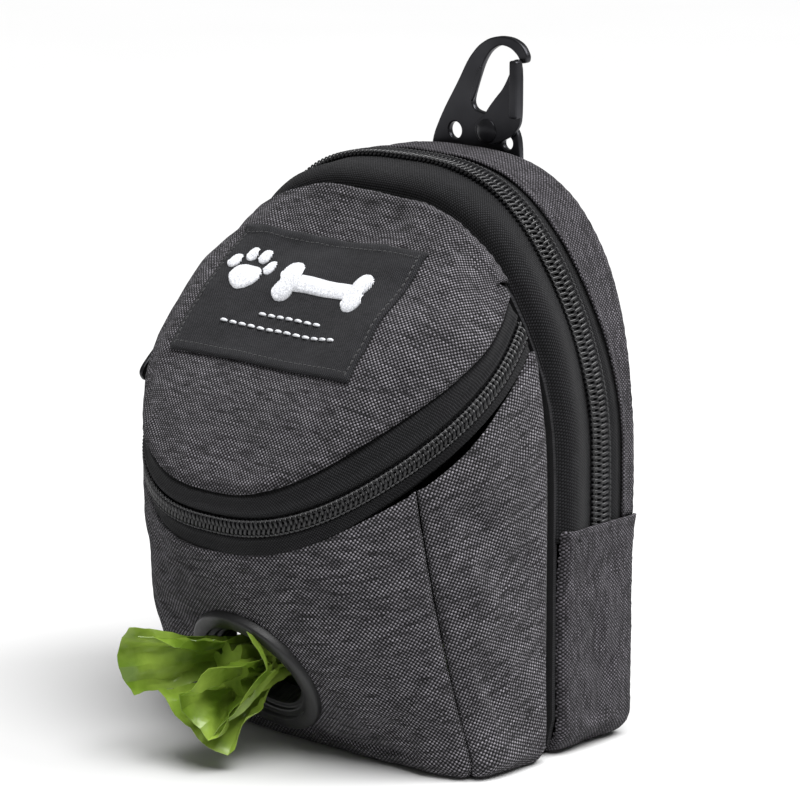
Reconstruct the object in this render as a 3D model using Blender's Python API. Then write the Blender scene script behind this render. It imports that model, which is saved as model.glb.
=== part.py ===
"""Dog treat pouch shaped like a small backpack, with a waste-bag outlet and a hook.

Units are metres, +Z is up and the front faces -Y. The pouch stands on its flat
base at Z = 0. Depth is measured forwards (-Y) from the plane of the rear panel.
"""
import math

import bmesh
import bpy
from mathutils import Matrix, Vector

# ---------------------------------------------------------------- driving dimensions
WIDTH = 0.115               # body width at the hem
HEIGHT = 0.1465             # top of the rear arch
REAR_Y = 0.0455             # rear panel plane, so the origin lies under the pouch
HEM_Z = HEIGHT * 0.39795    # top of the base gusset, where the main zipper ends
ARCH_POWER = 2.85           # superellipse power of the arch
FRONT_DROP = 0.007          # how much lower the front seam's arch is than the rear one
SEAM_DEPTH = 0.0275         # depth of the front seam at the hem
SEAM_TOP_DEPTH = SEAM_DEPTH + 0.008     # depth of the front seam at its top
LEAN_START_Z = HEIGHT * 0.5461      # the zipper band starts to lean forwards here
GAP = 0.0003                # gap between touching pieces

GUSSET_EDGE = (0.0056, 0.0152)      # depth at the hem and at the top of the arch
REAR_TAPE_EDGE = (0.0100, 0.0182)
COIL_MIDDLE = (0.0134, 0.0216)
COIL_EDGE = (0.0168, 0.0250)

PANEL = 0.0025              # padded rear panel and base gusset
FABRIC = 0.0016             # single fabric wall
TAPE = 0.0012               # zipper tape
COIL = 0.0020               # zipper coil height
COIL_PROUD = 0.0006         # how far a coil stands out of its tape
DIVIDER = 0.0012            # wall between the main compartment and the front pocket
SEAM_ROOM = 0.0033          # from the front seam to the pieces in front of the piping
PIPING_R = 0.0013           # piping cord in the front seam
DIVIDER_INSET = 0.0019
BASE_CORNER = 0.008         # rounding of the lower corners
HEM_HEIGHT = 0.0075
HEM_THICK = 0.0008

POCKET_POWER = 2.5          # superellipse power of the pocket zipper in plan
POCKET_END_Z = HEIGHT * 0.7570      # height of the pocket zipper's ends
POCKET_LIP_Z = HEIGHT * 0.43277     # height of the pocket zipper at the middle
POCKET_LIP_DEPTH = SEAM_DEPTH + 0.0665      # depth of the pocket zipper at the middle
POCKET_BASE_DEPTH = SEAM_DEPTH + 0.0365     # depth of the pocket at the base
POCKET_BASE_POWER = 5.0
POCKET_BULGE = 0.0025
POCKET_ROUND = 0.005        # rounding of the pocket's lower edge
BAND_SLOPE = 0.12           # how much the pocket zipper band tilts
BAND_CORNER = 0.45          # how much wider the upper tape is on the corners
BAND_NARROW = 0.40          # how much narrower the upper tape is at its ends
BAND_TAPER = 0.55           # how much narrower the lower tape is at its ends
LID_HEM = 0.0085            # coil middle to the lid fabric
LID_START = (-0.004, -0.0155)       # how the lid leaves the front seam, in Y and Z
LID_END = (0.015, 0.028)    # how it comes down to the zipper band
LID_FULLNESS = 0.0067       # how much fuller it is over the corners
LID_END_RISE = 0.003        # the lid's ends above the band's
COIL_HALF = 0.0020          # half width of the pocket zipper's coil
LOWER_TAPE = 0.0075         # coil middle to the pocket fabric
RIM_ROOM = 0.0014           # room between a tape and the tilted rim of a fabric panel
PANEL_SPLIT = math.radians(55.5)    # where the pocket's front and side panels meet

LID_SLOPE = math.radians(45)
LABEL_WIDTH = 0.062
LABEL_SPAN = (0.27, 0.67)   # part of the lid's slope that the label covers
LABEL_THICK = 0.0007

OUTLET_Z = 0.023            # height of the outlet's centre on the pocket
OUTLET_BARREL_R = 0.0155
OUTLET_R = OUTLET_BARREL_R + 0.004  # flange radius
OUTLET_BORE_R = OUTLET_BARREL_R - 0.003
OUTLET_HOLE_R = OUTLET_BARREL_R + 0.0005    # hole in the pocket fabric
FLANGE_THICK = 0.0026
RETAINER_BACK = 0.0062

ROLL_R = 0.0125
ROLL_LENGTH = 0.052
ROLL_DEPTH = SEAM_DEPTH + 0.0195
ROLL_Z = 0.0185
CORE_R = 0.0062
CORE_HOLE_R = 0.0045
TAIL_NECK = ((-0.0100, 0.0020), (0.0, 0.0050), (0.005, 0.0085), (0.0115, 0.0100))
TAIL_BUNCH = (              # offset from the outlet's centre and radius
    ((-0.004, -0.020, -0.001), 0.0125), ((-0.008, -0.025, -0.002), 0.0150),
    ((-0.012, -0.029, 0.000), 0.0125), ((-0.015, -0.033, 0.002), 0.0065))

HOOK_Y = 0.0034             # hook plate's middle, behind the rear plane
HOOK_THICK = 0.0018
HOOK_BAR_Z = 0.1384         # middle of the bar inside the webbing loop
HOOK_BAR = 0.0022
LOOP_WIDTH = 0.022
LOOP_BOTTOM_Z = 0.120
WEBBING = 0.0013
LOOP_INNER = 0.0034         # room between the loop's two legs
GATE_THICK = 0.0010
GATE_PIVOT = (0.0052, 0.1503)
RIVET_R = 0.0012
RIVET_HEAD_R = 0.0032
RIVET_TAIL_R = 0.0024
SPRING_R = 0.0026
RIVET_HEAD = 0.0006         # height of the rivet's head and of its tail
SPRING_LENGTH = 0.0009

MAIN_SLIDER_Z = HEIGHT * 0.471
LID_SLIDER_ANGLE = math.radians(-80)
PULL_LENGTH = 0.020
PULL_HALF = 0.0028
PULL_THICK = 0.0010
PULL_CHAMFER = 0.0012
PULL_WINDOW = (0.0017, 0.0062)      # half width and end of the window that the bail runs through
SLIDER_LIFT = 0.0004        # the slider's plate above the coil
SLIDER_PLATE = 0.0012
SLIDER_HALF = (0.0036, 0.0045)      # across and along the coil
BAIL_ROOM = 0.0019          # room under the bail for the pull
BAIL_HALF = 0.0044
BAIL_BAR = 0.0010
BAIL_HALF_WIDTH = 0.0009

HALF = WIDTH / 2
FRONT_TOP = HEIGHT - FRONT_DROP
FRONT_HALF = HALF - 0.0005
ARCH_STEPS = 40
POCKET_STEPS = 36


# ---------------------------------------------------------------- scene helpers
def clear_scene():
    for obj in list(bpy.data.objects):
        bpy.data.objects.remove(obj, do_unlink=True)


def material(name, color, roughness, metallic=0.0):
    mat = bpy.data.materials.new(name)
    mat.use_nodes = True
    shader = mat.node_tree.nodes["Principled BSDF"]
    shader.inputs["Base Color"].default_value = (*color, 1.0)
    shader.inputs["Roughness"].default_value = roughness
    shader.inputs["Metallic"].default_value = metallic
    return mat


def finish(name, bm, look, origin=None, smooth=False, hidden=False):
    """Turns a bmesh into a named object whose origin is at the given point."""
    origin = Vector(origin or (0, 0, 0))
    bmesh.ops.translate(bm, verts=bm.verts, vec=-origin)
    mesh = bpy.data.meshes.new(name)
    bm.to_mesh(mesh)
    bm.free()
    for polygon in mesh.polygons:
        polygon.use_smooth = smooth
    obj = bpy.data.objects.new(name, mesh)
    obj.location = origin
    bpy.context.scene.collection.objects.link(obj)
    if look:
        obj.data.materials.append(material(name, *look))
    if hidden:
        obj.hide_render = True
        obj.display_type = "WIRE"
    return obj


def shell(name, rows, thickness, look, origin=None, smooth=True):
    """A sheet through the rows of points, given its thickness on the inner side."""
    bm = bmesh.new()
    grid = [[bm.verts.new(point) for point in row] for row in rows]
    for near, far in zip(grid, grid[1:]):
        for k in range(len(near) - 1):
            bm.faces.new((near[k], near[k + 1], far[k + 1], far[k]))
    inside = Vector((0, REAR_Y - SEAM_DEPTH, HEM_Z))
    bm.normal_update()
    facing = sum(face.normal.dot(face.calc_center_median() - inside) * face.calc_area() for face in bm.faces)
    if facing < 0:
        bmesh.ops.reverse_faces(bm, faces=bm.faces)
    obj = finish(name, bm, look, origin, smooth)
    solidify = obj.modifiers.new("thickness", "SOLIDIFY")
    solidify.thickness = thickness
    solidify.offset = -1.0
    solidify.use_even_offset = True
    return obj


def extruded(name, outline, along, look, origin=None, hidden=False):
    """A flat outline given a thickness along a vector."""
    bm = bmesh.new()
    face = bm.faces.new([bm.verts.new(point) for point in outline])
    bm.normal_update()
    if face.normal.dot(Vector(along)) > 0:
        face.normal_flip()
    grown = bmesh.ops.extrude_face_region(bm, geom=[face])
    verts = [item for item in grown["geom"] if isinstance(item, bmesh.types.BMVert)]
    bmesh.ops.translate(bm, verts=verts, vec=along)
    bmesh.ops.recalc_face_normals(bm, faces=bm.faces)
    return finish(name, bm, look, origin, hidden=hidden)


def turned(name, profile, center, axis, look, steps=40, smooth=True, hidden=False):
    """A closed profile of (radius, height) pairs spun round the axis."""
    bm = bmesh.new()
    verts = [bm.verts.new((radius, 0, height)) for radius, height in profile]
    edges = [bm.edges.new((verts[k - 1], verts[k])) for k in range(len(verts))]
    bmesh.ops.spin(bm, geom=verts + edges, cent=(0, 0, 0), axis=(0, 0, 1), angle=math.tau, steps=steps,
                   use_merge=True)
    bmesh.ops.remove_doubles(bm, verts=bm.verts, dist=1e-6)
    bmesh.ops.recalc_face_normals(bm, faces=bm.faces)
    if bm.calc_volume(signed=True) < 0:
        bmesh.ops.reverse_faces(bm, faces=bm.faces)
    turn = Vector(axis).to_track_quat("Z", "Y").to_matrix().to_4x4()
    bmesh.ops.transform(bm, matrix=Matrix.Translation(center) @ turn, verts=bm.verts)
    return finish(name, bm, look, center, smooth, hidden)


def rod(name, radius, start, end, look=None, steps=32, hidden=False):
    """A plain solid cylinder between two points."""
    start = Vector(start)
    end = Vector(end)
    length = (end - start).length
    bm = bmesh.new()
    bmesh.ops.create_cone(bm, cap_ends=True, segments=steps, radius1=radius, radius2=radius, depth=length)
    turn = (end - start).to_track_quat("Z", "Y").to_matrix().to_4x4()
    bmesh.ops.transform(bm, matrix=Matrix.Translation((start + end) / 2) @ turn, verts=bm.verts)
    return finish(name, bm, look, (start + end) / 2, hidden=hidden)


def add_box(bm, low, high):
    size = [b - a for a, b in zip(low, high)]
    middle = [(a + b) / 2 for a, b in zip(low, high)]
    scale = Matrix.Diagonal((*size, 1.0))
    bmesh.ops.create_cube(bm, size=1.0, matrix=Matrix.Translation(middle) @ scale)


def box(name, low, high, look=None, hidden=False):
    bm = bmesh.new()
    add_box(bm, low, high)
    middle = [(a + b) / 2 for a, b in zip(low, high)]
    return finish(name, bm, look, middle, hidden=hidden)


def boolean(obj, other, operation="DIFFERENCE"):
    modifier = obj.modifiers.new(other.name, "BOOLEAN")
    modifier.operation = operation
    modifier.solver = "EXACT"
    modifier.object = other


# ---------------------------------------------------------------- shape of the pouch
def at(x, depth, z):
    return Vector((x, REAR_Y - depth, z))


def ease(value):
    value = min(max(value, 0.0), 1.0)
    return value * value * (3 - 2 * value)


def leaned(z, ends):
    """Depth at this height of a line that runs along the leaning zipper band."""
    share = ease((z - LEAN_START_Z) / (FRONT_TOP - LEAN_START_Z))
    return ends[0] + (ends[1] - ends[0]) * share


def seam_depth(z):
    return leaned(z, (SEAM_DEPTH, SEAM_TOP_DEPTH))


def arch(angle, half, top):
    """(x, z) on the arch: pi is the left end at the hem, 0 the right one."""
    cosine = math.cos(angle)
    x = math.copysign(half * abs(cosine) ** (2 / ARCH_POWER), cosine)
    z = HEM_Z + (top - HEM_Z) * abs(math.sin(angle)) ** (2 / ARCH_POWER)
    return x, z


def arch_half(z, half, top):
    """Half width of the arch at this height."""
    if z <= HEM_Z:
        return half
    rise = min((z - HEM_Z) / (top - HEM_Z), 1.0)
    return half * (1 - rise ** ARCH_POWER) ** (1 / ARCH_POWER)


def arch_row(ends, half, top):
    row = []
    for k in range(ARCH_STEPS + 1):
        x, z = arch(math.pi * (1 - k / ARCH_STEPS), half, top)
        row.append(at(x, leaned(z, ends), z))
    return row


def band_line(angle, offset=0.0, proud=0.0):
    """A point beside the pocket zipper's middle line: -90 degrees is its left end.

    The band's upper tape is widest on the pocket's corners and the lower one
    narrows towards its ends.
    """
    if offset > COIL_HALF:
        wider = BAND_CORNER * math.sin(2 * angle) ** 2 - BAND_NARROW * abs(math.sin(angle)) ** 12
        offset += (offset - COIL_HALF) * wider
    elif offset < -COIL_HALF:
        offset -= (offset + COIL_HALF) * BAND_TAPER * ease(abs(angle) / (math.pi / 2))
    sine = math.sin(angle)
    cosine = max(math.cos(angle), 0.0)
    reach = cosine ** (2 / POCKET_POWER)
    side = abs(sine) ** (2 / POCKET_POWER)
    run = math.hypot(POCKET_LIP_DEPTH - SEAM_DEPTH, POCKET_END_Z - POCKET_LIP_Z)
    fall = (POCKET_END_Z - POCKET_LIP_Z) / run
    steep = fall * ease(abs(angle) / (math.pi / 2))
    z = POCKET_END_Z - (POCKET_END_Z - POCKET_LIP_Z) * reach + offset / math.sqrt(1 - steep * steep)
    near = seam_depth(z) + SEAM_ROOM
    depth = near + (POCKET_LIP_DEPTH - near) * reach + BAND_SLOPE * offset * cosine
    edge_half = arch_half(POCKET_END_Z, FRONT_HALF, FRONT_TOP)
    x = math.copysign(side, sine) * edge_half
    here_half = arch_half(z, FRONT_HALF, FRONT_TOP)
    x *= 1 + (here_half / edge_half - 1) * abs(sine) ** 6
    out = Vector((math.copysign(abs(sine), sine), -cosine, 0)).normalized()
    return at(x, depth, z) + out * proud


def pocket_base(angle):
    """A point on the pocket's outline at the base."""
    sine = math.sin(angle)
    cosine = max(math.cos(angle), 0.0)
    near = SEAM_DEPTH + SEAM_ROOM
    x = math.copysign(FRONT_HALF * abs(sine) ** (2 / POCKET_BASE_POWER), sine)
    return x, near + (POCKET_BASE_DEPTH - near) * cosine ** (2 / POCKET_BASE_POWER)


def base_inwards(angle):
    """Direction from the pocket's outline at the base towards its inside."""
    x, depth = pocket_base(angle)
    near = SEAM_DEPTH + SEAM_ROOM
    across = abs(x / FRONT_HALF) ** (POCKET_BASE_POWER - 1) / FRONT_HALF
    reach = (depth - near) / (POCKET_BASE_DEPTH - near)
    along = reach ** (POCKET_BASE_POWER - 1) / (POCKET_BASE_DEPTH - near)
    return Vector((-math.copysign(across, x), along, 0)).normalized()


def pocket_point(angle, share):
    """A point on the pocket wall.

    Share 0 is under the zipper, 1 is where the lower edge starts to round and 2
    is where it meets the floor.
    """
    top = band_line(angle, -LOWER_TAPE - RIM_ROOM / 2)
    x, depth = pocket_base(angle)
    turn = math.radians(90 * max(share - 1, 0))
    bottom = at(x, depth, POCKET_ROUND * (1 - math.sin(turn)))
    point = top.lerp(bottom, min(share, 1))
    sine = abs(math.sin(angle))
    cosine = max(math.cos(angle), 0.0)
    edge_x = math.copysign(arch_half(point.z, FRONT_HALF, FRONT_TOP), angle)
    point.x += (edge_x - point.x) * sine ** 8
    bulge = POCKET_BULGE * 4 * share * max(1 - share, 0) * cosine
    point += base_inwards(angle) * POCKET_ROUND * (1 - math.cos(turn))
    return point + Vector((0, -bulge, 0))


def lid_point(angle, share):
    """A point on the lid: share 0 is at the front seam and 1 is at the zipper band."""
    low = band_line(angle, LID_HEM)
    end_z = band_line(math.pi / 2, LID_HEM).z + LID_END_RISE
    end_rise = (end_z - HEM_Z) / (FRONT_TOP - HEM_Z)
    end_angle = math.asin(end_rise ** (ARCH_POWER / 2))
    turn = math.pi / 2 - angle / (math.pi / 2) * (math.pi / 2 - end_angle)
    x, z = arch(turn, FRONT_HALF, FRONT_TOP)
    high = at(x, seam_depth(z) + SEAM_ROOM + FABRIC, z)
    middle = (at(0, SEAM_TOP_DEPTH + SEAM_ROOM + FABRIC, FRONT_TOP) - band_line(0, LID_HEM)).length
    scale = (high - low).length / middle
    fullness = Vector((0, 0, LID_FULLNESS * math.sin(2 * angle) ** 2))
    first = high + Vector((0, *LID_START)) * scale + fullness
    second = low + Vector((0, *LID_END)) * scale + fullness
    rest = 1 - share
    return (high * rest ** 3 + first * 3 * share * rest ** 2 + second * 3 * share ** 2 * rest
            + low * share ** 3)


def lid_at_x(x, share):
    """The lid's point at this x, found along a line of constant share."""
    low, high = -math.pi / 2, math.pi / 2
    for _ in range(30):
        middle = (low + high) / 2
        if lid_point(middle, share).x < x:
            low = middle
        else:
            high = middle
    return lid_point((low + high) / 2, share)


def lid_at(x, reach):
    """The lid's point at this x and this far down its slope, and the normal there."""
    low, high = 0.0, 1.0
    for _ in range(30):
        middle = (low + high) / 2
        if slope_reach(lid_at_x(x, middle)) < reach:
            low = middle
        else:
            high = middle
    share = (low + high) / 2
    along = lid_at_x(x, share + 0.02) - lid_at_x(x, share - 0.02)
    across = lid_at_x(x + 0.001, share) - lid_at_x(x - 0.001, share)
    normal = across.cross(along).normalized()
    if normal.z < 0:
        normal = -normal
    return lid_at_x(x, share), normal


def slope_reach(point):
    """How far down the lid's slope a point lies."""
    return (REAR_Y - point.y) * math.cos(LID_SLOPE) - point.z * math.sin(LID_SLOPE)


def angles(start, end, steps):
    return [start + (end - start) * k / steps for k in range(steps + 1)]


# ---------------------------------------------------------------- looks
GREY_FABRIC = ((0.040, 0.038, 0.041), 0.95)
FINE_FABRIC = ((0.045, 0.042, 0.046), 0.93)
BLACK_TAPE = ((0.012, 0.012, 0.013), 0.80)
BLACK_COIL = ((0.010, 0.010, 0.011), 0.45)
LINING = ((0.020, 0.020, 0.022), 0.90)
LABEL_BLACK = ((0.014, 0.014, 0.016), 0.75)
MOULDED = ((0.014, 0.014, 0.015), 0.50)
GREEN_FILM = ((0.130, 0.300, 0.040), 0.35)
CARD = ((0.450, 0.330, 0.210), 0.90)
GUNMETAL = ((0.080, 0.080, 0.085), 0.35, 1.0)
BLACK_METAL = ((0.030, 0.030, 0.032), 0.35, 0.9)


# ---------------------------------------------------------------- rear and base
def back_panels():
    upper = [at(*pair) for pair in ((x, 0, z) for x, z in
             (arch(math.pi * (1 - k / ARCH_STEPS), HALF, HEIGHT) for k in range(ARCH_STEPS + 1)))]
    extruded("back_panel_upper", upper, (0, -PANEL, 0), FINE_FABRIC, at(0, 0, HEM_Z))
    outline = base_outline(HEM_Z - 2 * GAP)
    extruded("back_panel_lower", [at(x, 0, z) for x, z in outline], (0, -PANEL, 0), FINE_FABRIC)


def base_outline(top):
    """(x, z) pairs down the left side, along the base and up the right side."""
    points = [(-HALF, top), (-HALF, top / 2)]
    for k in range(7):
        turn = math.radians(180 + 15 * k)
        points.append((-HALF + BASE_CORNER * (1 + math.cos(turn)), BASE_CORNER * (1 + math.sin(turn))))
    points.append((0.0, 0.0))
    mirrored = [(-x, z) for x, z in reversed(points[:-1])]
    return points + mirrored


def base_gusset():
    outline = base_outline(HEM_Z - 2 * GAP)
    front = SEAM_DEPTH - GAP
    rows = [[at(x, depth, z) for x, z in outline] for depth in (PANEL + GAP, (PANEL + front) / 2, front)]
    shell("base_gusset", rows, PANEL, FINE_FABRIC, smooth=False)


def hem(name, side):
    """The folded fabric edge that covers the ends of the main zipper."""
    outer = side * (HALF + GAP + HEM_THICK)
    inner = side * (HALF + GAP)
    top = HEM_Z - 2 * GAP
    low = (min(outer, inner), REAR_Y - SEAM_DEPTH + GAP, top - HEM_HEIGHT)
    high = (max(outer, inner), REAR_Y - PANEL - GAP, top)
    box(name, low, high, FINE_FABRIC)


# ---------------------------------------------------------------- arch and main zipper
def arch_strip(name, near, far, thickness, look, proud=0.0, drop=(0.0, 0.0), rows=2, puff=0.0):
    """A strip of the arch between two leaning lines."""
    lines = []
    for k in range(rows + 1):
        share = k / rows
        ends = tuple(a + (b - a) * share for a, b in zip(near, far))
        lower = drop[0] + (drop[1] - drop[0]) * share * share
        out = proud + puff * math.sin(math.pi * share)
        narrower = (HALF - FRONT_HALF) * share if drop[1] else 0.0
        lines.append(arch_row(ends, HALF + out - narrower, HEIGHT + out - lower))
    return shell(name, lines, thickness, look, at(0, 0, HEM_Z))


def moved(ends, by):
    return ends[0] + by, ends[1] + by


def main_zipper():
    rear = (PANEL + GAP, PANEL + GAP)
    seam = (SEAM_DEPTH, SEAM_TOP_DEPTH)
    arch_strip("arch_gusset", rear, GUSSET_EDGE, FABRIC, FINE_FABRIC)
    arch_strip("main_tape_rear", moved(GUSSET_EDGE, GAP), REAR_TAPE_EDGE, TAPE, BLACK_TAPE, -0.0004, rows=1)
    arch_strip("main_coil_rear", moved(REAR_TAPE_EDGE, GAP), moved(COIL_MIDDLE, -GAP / 2), COIL, BLACK_COIL,
               COIL_PROUD, rows=1)
    front_middle = moved(COIL_MIDDLE, GAP / 2)
    arch_strip("main_coil_front", front_middle, COIL_EDGE, COIL, BLACK_COIL, COIL_PROUD, rows=1)
    arch_strip("main_tape_front", moved(COIL_EDGE, GAP), moved(seam, -GAP), TAPE, BLACK_TAPE,
               drop=(0.0, FRONT_DROP), rows=4, puff=0.0006)


def divider():
    """The wall behind the pocket, which follows the front seam."""
    rows = []
    top = FRONT_TOP - DIVIDER_INSET - 0.0006
    heights = [PANEL + 2 * GAP + (top - PANEL - 2 * GAP) * k / 20 for k in range(21)]
    for z in heights:
        half = arch_half(z, FRONT_HALF - DIVIDER_INSET, FRONT_TOP - DIVIDER_INSET)
        if z < BASE_CORNER:
            half = min(half, FRONT_HALF - DIVIDER_INSET - BASE_CORNER + math.sqrt(
                max(BASE_CORNER ** 2 - (BASE_CORNER - z) ** 2, 0)))
        rows.append([at(half * (k / 4 - 1), seam_depth(z) + GAP / 2, z) for k in range(9)])
    bm = bmesh.new()
    grid = [[bm.verts.new(point) for point in row] for row in rows]
    for near, far in zip(grid, grid[1:]):
        for k in range(8):
            bm.faces.new((near[k], near[k + 1], far[k + 1], far[k]))
    obj = finish("divider_panel", bm, LINING, smooth=False)
    solidify = obj.modifiers.new("thickness", "SOLIDIFY")
    solidify.thickness = DIVIDER
    solidify.offset = 1.0


def piping():
    """A round cord in the seam between the zipper band and the front panels."""
    points = [(-FRONT_HALF, 0.0025), (-FRONT_HALF, HEM_Z / 2)]
    points += [arch(math.pi * (1 - k / ARCH_STEPS), FRONT_HALF, FRONT_TOP) for k in range(ARCH_STEPS + 1)]
    points += [(FRONT_HALF, HEM_Z / 2), (FRONT_HALF, 0.0025)]
    path = bpy.data.curves.new("front_piping", "CURVE")
    path.dimensions = "3D"
    path.bevel_depth = PIPING_R
    path.bevel_resolution = 1
    path.use_fill_caps = True
    spline = path.splines.new("POLY")
    spline.points.add(len(points) - 1)
    for target, (x, z) in zip(spline.points, points):
        place = at(x, seam_depth(z) + SEAM_ROOM / 2 - GAP / 2, z)
        target.co = (*place, 1.0)
    obj = bpy.data.objects.new("front_piping", path)
    bpy.context.scene.collection.objects.link(obj)
    path.materials.append(material("front_piping", *BLACK_TAPE))


# ---------------------------------------------------------------- pocket
def outlet_place():
    """The outlet's centre on the pocket's outer face and the direction it faces."""
    top = band_line(0, -LOWER_TAPE - RIM_ROOM / 2).z
    share = (top - OUTLET_Z) / (top - POCKET_ROUND)
    point = pocket_point(0, share)
    down = pocket_point(0, share + 0.05) - pocket_point(0, share - 0.05)
    facing = Vector((1, 0, 0)).cross(down).normalized()
    if facing.y > 0:
        facing = -facing
    return point, facing


def pocket_wall(name, start, end, steps, look):
    shares = [k / 7 for k in range(8)] + [1.33, 1.67, 2.0]
    rows = [[pocket_point(angle, share) for angle in angles(start, end, steps)] for share in shares]
    return shell(name, rows, FABRIC, look)


def pocket():
    quarter = math.radians(89.9)
    split = math.radians(0.7)
    front = pocket_wall("pocket_front", -PANEL_SPLIT + split, PANEL_SPLIT - split, 20, GREY_FABRIC)
    point, facing = outlet_place()
    cutter = rod("outlet_cutter", OUTLET_HOLE_R, point - facing * 0.012, point + facing * 0.012, hidden=True)
    boolean(front, cutter)
    pocket_wall("pocket_side_left", -quarter, -PANEL_SPLIT - split, 8, GREY_FABRIC)
    pocket_wall("pocket_side_right", PANEL_SPLIT + split, quarter, 8, GREY_FABRIC)
    outline = []
    for angle in angles(-quarter, quarter, 32):
        rim = pocket_point(angle, 2.0) + base_inwards(angle) * 2 * GAP
        outline.append(rim)
    start = SEAM_DEPTH + SEAM_ROOM
    outline = [point for point in outline if REAR_Y - point.y > start]
    outline = [at(outline[0].x, start, 0)] + outline + [at(outline[-1].x, start, 0)]
    extruded("pocket_floor", outline, (0, 0, FABRIC), LINING)


def pocket_band(name, high, low, thickness, look, proud=0.0, rows=1):
    quarter = math.radians(89.5)
    lines = []
    for k in range(rows + 1):
        offset = high + (low - high) * k / rows
        lines.append([band_line(angle, offset, proud) for angle in angles(-quarter, quarter, POCKET_STEPS)])
    return shell(name, lines, thickness, look, lid_axis() if high > 0 else None)


def lid_axis():
    return at(0, SEAM_TOP_DEPTH, FRONT_TOP)


def lid():
    quarter = math.radians(89.5)
    across = angles(-quarter, quarter, POCKET_STEPS)
    rows = [[lid_point(angle, k / 10) for angle in across] for k in range(11)]
    shell("lid_panel", rows, FABRIC, GREY_FABRIC, lid_axis())
    pocket_band("lid_tape_upper", LID_HEM - RIM_ROOM, COIL_HALF + GAP, TAPE, BLACK_TAPE, -0.0003)
    pocket_band("lid_coil_upper", COIL_HALF, GAP / 2, COIL, BLACK_COIL, COIL_PROUD)
    pocket_band("lid_coil_lower", -GAP / 2, -COIL_HALF, COIL, BLACK_COIL, COIL_PROUD)
    pocket_band("lid_tape_lower", -COIL_HALF - 2 * GAP, -LOWER_TAPE, TAPE, BLACK_TAPE, -0.0003)


def label():
    first, last = (slope_reach(lid_point(0, share)) for share in LABEL_SPAN)
    rows = []
    for k in range(9):
        row = []
        for j in range(13):
            point, normal = lid_at(LABEL_WIDTH * (j / 12 - 0.5), first + (last - first) * k / 8)
            row.append(point + normal * (LABEL_THICK + 0.0005))
        rows.append(row)
    shell("label_patch", rows, LABEL_THICK, LABEL_BLACK, lid_axis(), smooth=False)


# ---------------------------------------------------------------- outlet, roll and bag
def outlet():
    point, facing = outlet_place()
    face = FLANGE_THICK + 0.0004
    profile = [
        (OUTLET_BORE_R, -RETAINER_BACK), (OUTLET_BARREL_R, -RETAINER_BACK), (OUTLET_BARREL_R, 0.0004),
        (OUTLET_R, 0.0004), (OUTLET_R, face - 0.0008), (OUTLET_R - 0.0008, face),
        (OUTLET_BARREL_R, face), (OUTLET_BARREL_R - 0.0009, face - 0.0012),
        (OUTLET_BORE_R + 0.0006, face - 0.0012), (OUTLET_BORE_R, face - 0.0022)]
    turned("outlet_ring", profile, point, facing, MOULDED)
    inner = OUTLET_BARREL_R + GAP
    outer = OUTLET_R + 0.0008
    back = [(inner, -RETAINER_BACK), (outer, -RETAINER_BACK), (outer, -RETAINER_BACK + 0.0016),
            (inner, -RETAINER_BACK + 0.0016)]
    turned("outlet_retainer", back, point, facing, MOULDED)


def waste_bags():
    center = at(0, ROLL_DEPTH, ROLL_Z)
    half = ROLL_LENGTH / 2
    roll = [(CORE_R + GAP, -half), (ROLL_R, -half), (ROLL_R, half), (CORE_R + GAP, half)]
    turned("waste_bag_roll", roll, center, (1, 0, 0), GREEN_FILM, steps=32)
    core = [(CORE_HOLE_R, -half), (CORE_R, -half), (CORE_R, half), (CORE_HOLE_R, half)]
    turned("roll_core", core, center, (1, 0, 0), CARD, steps=24)


def bag_tail():
    """The crumpled end of a bag that hangs out of the outlet."""
    point, facing = outlet_place()
    stations = [(point + facing * along, radius) for along, radius in TAIL_NECK]
    stations += [(point + Vector(offset), radius) for offset, radius in TAIL_BUNCH]
    lobes = 20
    bm = bmesh.new()
    rings = []
    for k, (middle, radius) in enumerate(stations):
        before = stations[max(k - 1, 0)][0]
        after = stations[min(k + 1, len(stations) - 1)][0]
        along = (after - before).normalized()
        side = Vector((0, 0, 1)).cross(along).normalized()
        up = along.cross(side).normalized()
        crumple = min(0.30, 0.10 * k)
        ring = []
        for j in range(lobes):
            turn = math.tau * j / lobes
            reach = radius * (1 + crumple * math.sin(3 * turn + 1.3 * k) * math.cos(2 * turn - 0.7 * k))
            ring.append(bm.verts.new(middle + (side * math.cos(turn) + up * 0.85 * math.sin(turn)) * reach))
        rings.append(ring)
    for near, far in zip(rings, rings[1:]):
        for j in range(lobes):
            bm.faces.new((near[j], near[j - 1], far[j - 1], far[j]))
    bm.faces.new(rings[0])
    bm.faces.new(list(reversed(rings[-1])))
    bmesh.ops.recalc_face_normals(bm, faces=bm.faces)
    finish("waste_bag_tail", bm, GREEN_FILM, point, smooth=True)


# ---------------------------------------------------------------- hook
HOOK_OUTLINE = (
    (-15.4, 137.3), (-15.4, 146.0), (-11.4, 154.0), (-6.2, 162.0), (-2.8, 168.0), (0.6, 171.8), (4.2, 174.0),
    (8.3, 175.0), (12.6, 174.8), (16.0, 173.3), (17.8, 170.6), (17.5, 168.8), (15.4, 168.4), (14.4, 170.4),
    (11.8, 172.2), (8.3, 172.7), (4.9, 170.8), (2.6, 167.6), (0.6, 162.6), (-1.2, 157.4), (-0.4, 155.6),
    (1.4, 154.9), (6.0, 154.6), (10.6, 153.8), (14.0, 151.6), (15.4, 148.0), (15.4, 137.3))
GATE_OUTLINE = (
    (3.2, 153.7), (1.4, 152.2), (1.0, 150.0), (2.0, 147.9), (4.4, 146.9), (7.4, 146.9), (12.4, 149.0),
    (14.8, 150.6), (16.5, 153.0), (16.9, 156.0), (16.9, 169.6), (13.9, 169.6), (13.0, 165.9),
    (10.5, 161.6), (8.3, 159.4), (5.8, 156.6), (4.4, 154.6))
MM = 0.001
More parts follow.
